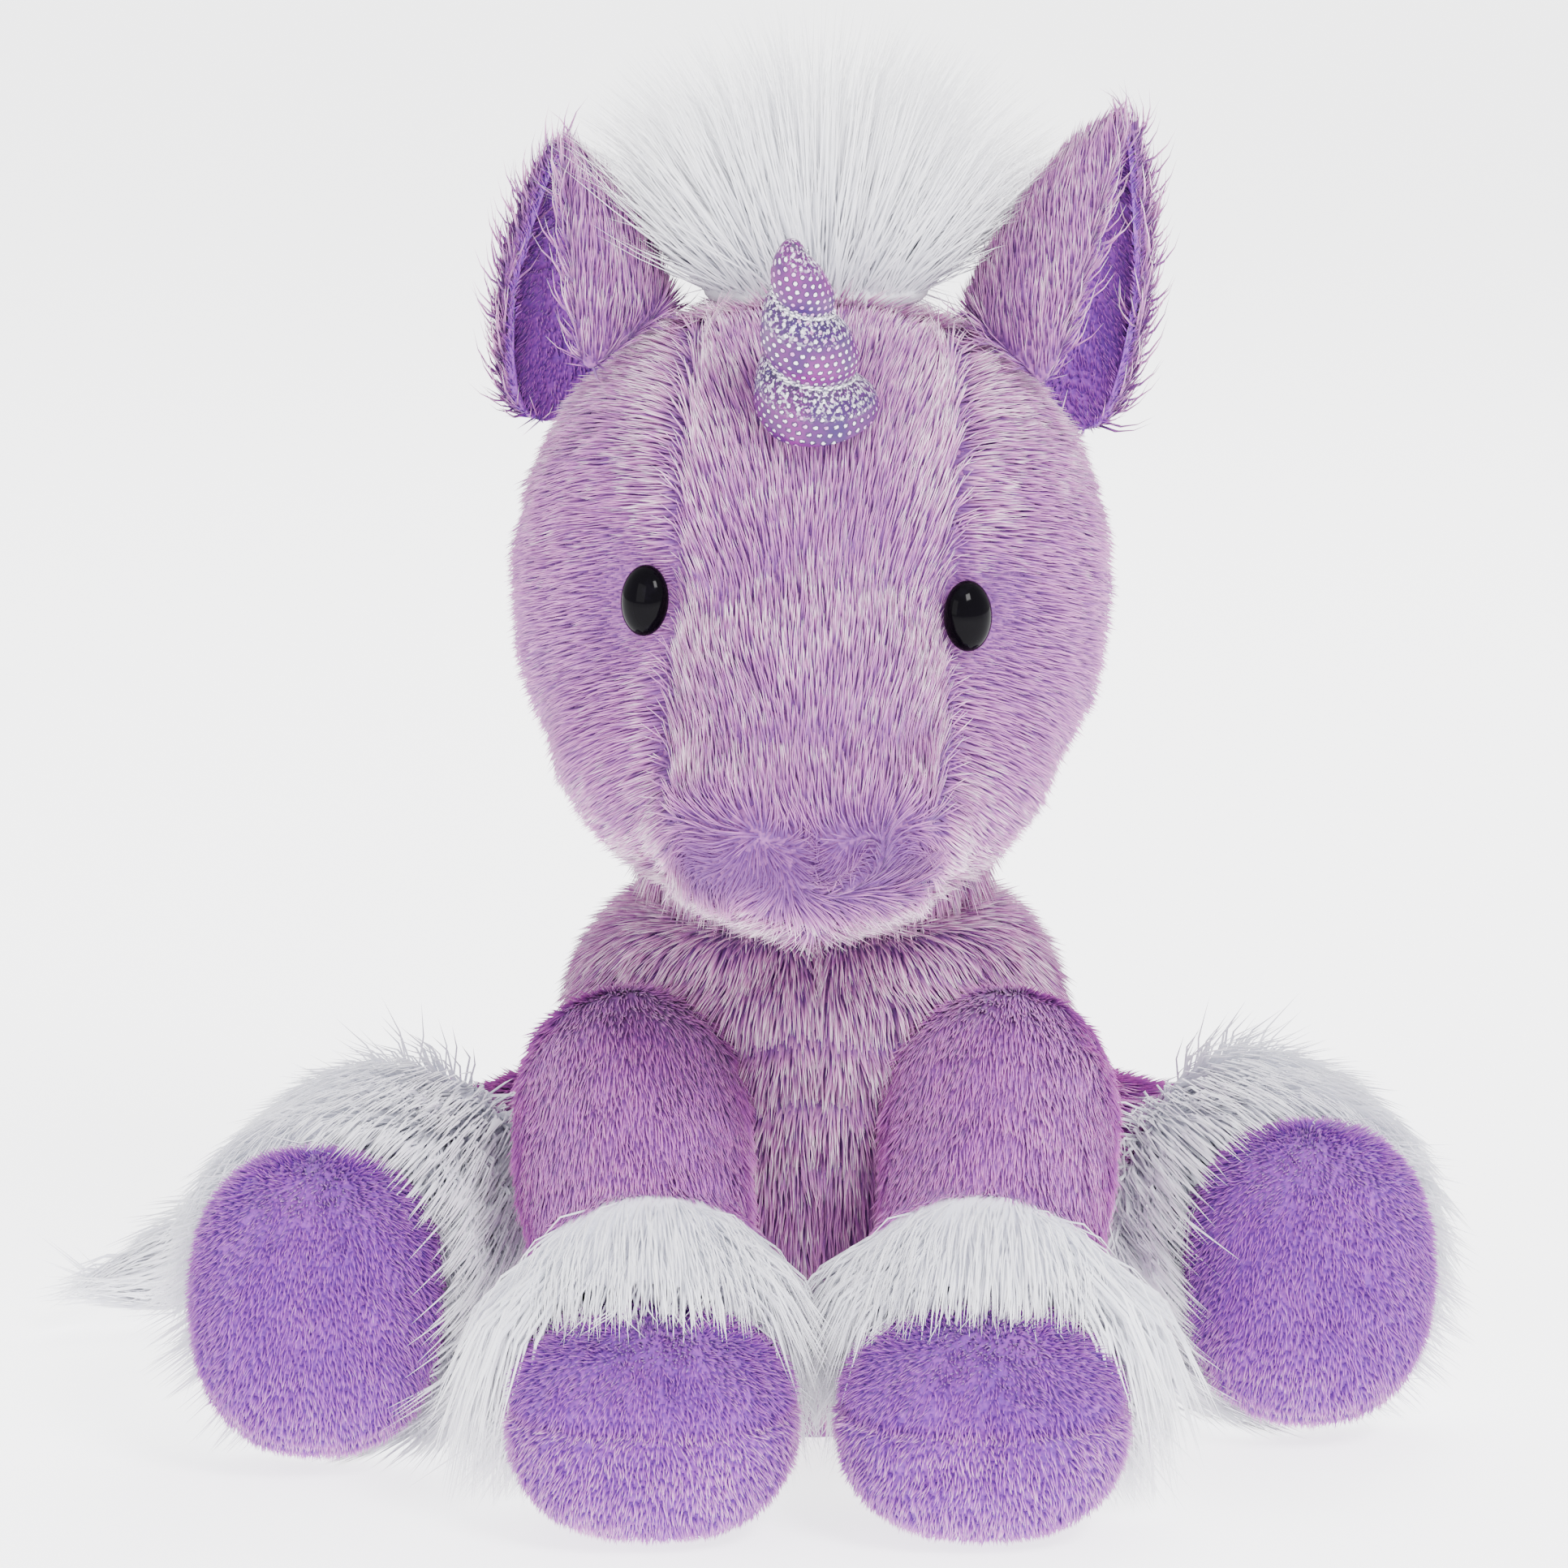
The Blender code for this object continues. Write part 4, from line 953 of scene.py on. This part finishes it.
def hornFrame():
    # the horn's middle, its axis and two directions across it, its two ends along the axis, its radius
    guide = gather("hornGuide", ["horn_shell"])
    co = points(guide)
    bpy.data.objects.remove(guide)
    inner = np.array([v.co for v in nodes["horn_stuffing"].data.vertices])
    centre = inner.mean(axis=0)
    axis = np.linalg.svd(inner - centre)[2][0]
    axis = axis if axis[2] > 0 else -axis
    reach = (co - centre) @ axis
    wide = np.linalg.norm((co - centre) - reach[:, None] * axis, axis=1).max()
    side = np.cross(axis, [0.0, 1.0, 0.0])
    side /= np.linalg.norm(side)
    return centre, axis, side, np.cross(axis, side), reach.min(), reach.max(), wide


hornCentre, hornAxis, hornSide, hornOther, hornStart, hornEnd, hornWide = hornFrame()


def hornRadius(share):
    return hornWide * (1 - hornLook["taper"] * share) * (1 - share ** 7) ** 0.5 + hornLook["tip"]


def hornPoint(share, turn, radius):
    return (hornCentre + hornAxis * (hornStart + (hornEnd - hornStart) * share)
            + radius * (hornSide * math.cos(turn) + hornOther * math.sin(turn)))


def spotAt(share, step, turn):
    # dots sit on rows that wind with the groove, every other row moved by half a step
    gap = hornLook["dotGap"]
    winding = share * hornLook["turns"] + step
    along = winding * (hornEnd - hornStart) / hornLook["turns"] / (gap * hornLook["rowGap"])
    line = round(along)
    around = turn * hornRadius(share) * 0.92 / gap + 0.5 * (line % 2)
    off = math.hypot((around - round(around)) * gap, (along - line) * gap * hornLook["rowGap"])
    return max(0.0, 1 - off / (hornLook["dotSize"] * 2))


def makeHorn():
    rows, sides = hornLook["rows"], hornLook["sides"]
    spots, hems, verts = [], [], []
    for row in range(rows + 1):
        share = row / rows
        for k in range(sides):
            turn = 2 * math.pi * k / sides
            phase = (share * hornLook["turns"] + k / sides) % 1.0
            pull = max(0.0, 1 - min(phase, 1 - phase) / hornLook["groove"])
            verts.append(hornPoint(share, turn, hornRadius(share) * (1 - hornLook["waist"] * pull ** 1.6)))
            spots.append(spotAt(share, k / sides, turn))
            below = max(0.0, 1 - (1 - phase) / hornLook["hemBelow"]) ** 0.8
            hems.append(below if phase > 0.5 else max(0.0, 1 - phase / hornLook["hemAbove"]))
    faces = [[row * sides + k, row * sides + (k + 1) % sides, (row + 1) * sides + (k + 1) % sides,
              (row + 1) * sides + k] for row in range(rows) for k in range(sides)]
    faces.append([k for k in range(sides)][::-1])
    faces.append([rows * sides + k for k in range(sides)])
    horn = refined(solidFrom("hornCover", verts, faces))
    near = BVHTree.FromPolygons([tuple(v) for v in verts], faces)
    grid = np.array(verts)
    marks = np.array([spots, hems])
    carried = []
    for place in points(horn):
        face = faces[near.find_nearest(Vector(place))[2]]
        weight = 1 / (np.linalg.norm(grid[face] - place, axis=1) + 1e-5)
        carried.append((marks[:, face] * weight).sum(axis=1) / weight.sum())
    paint(horn, "spot", [mark[0] for mark in carried])
    paint(horn, "hem", [mark[1] for mark in carried])
    horn.data.materials.append(hornSatin)
    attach(horn, "head")
    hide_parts("horn_shell")


def threadRoute(strand):
    # one of two strands twisted round each other in the winding groove
    thick = threadLook["thick"]
    for step in range(threadLook["steps"] + 1):
        share = threadLook["start"] + threadLook["run"] * step / threadLook["steps"]
        turn = -2 * math.pi * share * hornLook["turns"]
        twist = step * threadLook["twist"] + math.pi * strand
        share += threadLook["sway"] * math.cos(twist)
        lift = thick * (0.75 + 0.7 * math.sin(twist))
        yield hornPoint(share, turn, hornRadius(share) * (1 - hornLook["waist"]) + lift)


def makeHornThreads():
    steps, sides, thick = threadLook["steps"], threadLook["sides"], threadLook["thick"]
    verts, faces = [], []
    for strand in (0, 1):
        base = len(verts)
        route = list(threadRoute(strand))
        for i, spot in enumerate(route):
            ahead = route[min(i + 1, steps)] - route[max(i - 1, 0)]
            ahead = ahead / np.linalg.norm(ahead)
            flat = np.cross(ahead, [0.0, 0.3, 1.0])
            flat = flat / np.linalg.norm(flat)
            rise = np.cross(ahead, flat)
            for k in range(sides):
                angle = 2 * math.pi * k / sides
                verts.append(spot + thick * (flat * math.cos(angle) + rise * math.sin(angle)))
        for i in range(steps):
            for k in range(sides):
                a, b = base + i * sides + k, base + i * sides + (k + 1) % sides
                faces.append([a, b, b + sides, a + sides])
        faces.append([base + k for k in range(sides)][::-1])
        faces.append([base + steps * sides + k for k in range(sides)])
    threads = solidFrom("hornThreads", verts, faces)
    threads.data.materials.append(silverThread)
    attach(threads, "head")
    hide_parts("horn_thread")


makeHorn()
makeHornThreads()
print("horn done")

# the CAD parts that stay
finishes = ((("torso_stuffing", "neck_stuffing", "head_stuffing", "horn_stuffing", "fore_leg_filling",
              "rear_leg_filling", "fore_hoof_filling", "rear_hoof_filling"), fibre),
            (("pellet_bag",), pelletCloth), (("care_label",), labelCloth),
            (("eye_washer",), washerPlastic), (("seat_panel",), skinMats["lavender"]))
for prefixes, mat in finishes:
    for name, ob in nodes.items():
        if name.startswith(prefixes):
            ob.data.materials.clear()
            ob.data.materials.append(mat)

studio = dict(elevation=11.0, distance=1.4, lens=179.0, aimX=-5.7 * mm, aimZ=117.4 * mm, floorSize=24,
              floorGlow=2.6, sky=1.5, lampAim=(0, 0, 0.11),
              lamps={"key": dict(place=(0.6, -1.0, 1.15), size=0.45, power=30.0),
                     "fill": dict(place=(-0.9, -1.0, 0.6), size=0.8, power=6.0),
                     "back": dict(place=(0.3, 0.9, 1.1), size=0.7, power=14.0)})


def pointAt(ob, place, target):
    ob.location = place
    ob.rotation_euler = (Vector(target) - ob.location).to_track_quat("-Z", "Y").to_euler()


def makeStudio():
    bpy.ops.mesh.primitive_plane_add(size=studio["floorSize"])
    floor = bpy.context.object
    floor.name = "studioFloor"
    mat, net, shader = newMaterial("paleFloor", 0.9)
    shader.inputs["Base Color"].default_value = (0.95, 0.95, 0.96, 1.0)
    shader.inputs["Emission Color"].default_value = (1.0, 1.0, 1.0, 1.0)
    shader.inputs["Emission Strength"].default_value = studio["floorGlow"]
    floor.data.materials.append(mat)
    world = bpy.data.worlds.new("studioWorld")
    scene.world = world
    world.use_nodes = True
    world.node_tree.nodes["Background"].inputs[0].default_value = (0.97, 0.97, 1.0, 1.0)
    world.node_tree.nodes["Background"].inputs[1].default_value = studio["sky"]
    for name, look in studio["lamps"].items():
        lamp = bpy.data.lights.new(name, "AREA")
        lamp.size = look["size"]
        lamp.energy = look["power"]
        pointAt(addObject(name + "Lamp", lamp), look["place"], studio["lampAim"])
    camera = bpy.data.cameras.new("camera")
    camera.lens = studio["lens"]
    camera.sensor_width = 36.0
    ob = addObject("camera", camera)
    tilt = math.radians(studio["elevation"])
    aim = Vector((studio["aimX"], 0.0, studio["aimZ"]))
    pointAt(ob, aim + studio["distance"] * Vector((0, -math.cos(tilt), math.sin(tilt))), aim)
    scene.camera = ob


makeStudio()
print("hair triangles", sum(hairCount.values()), hairCount)
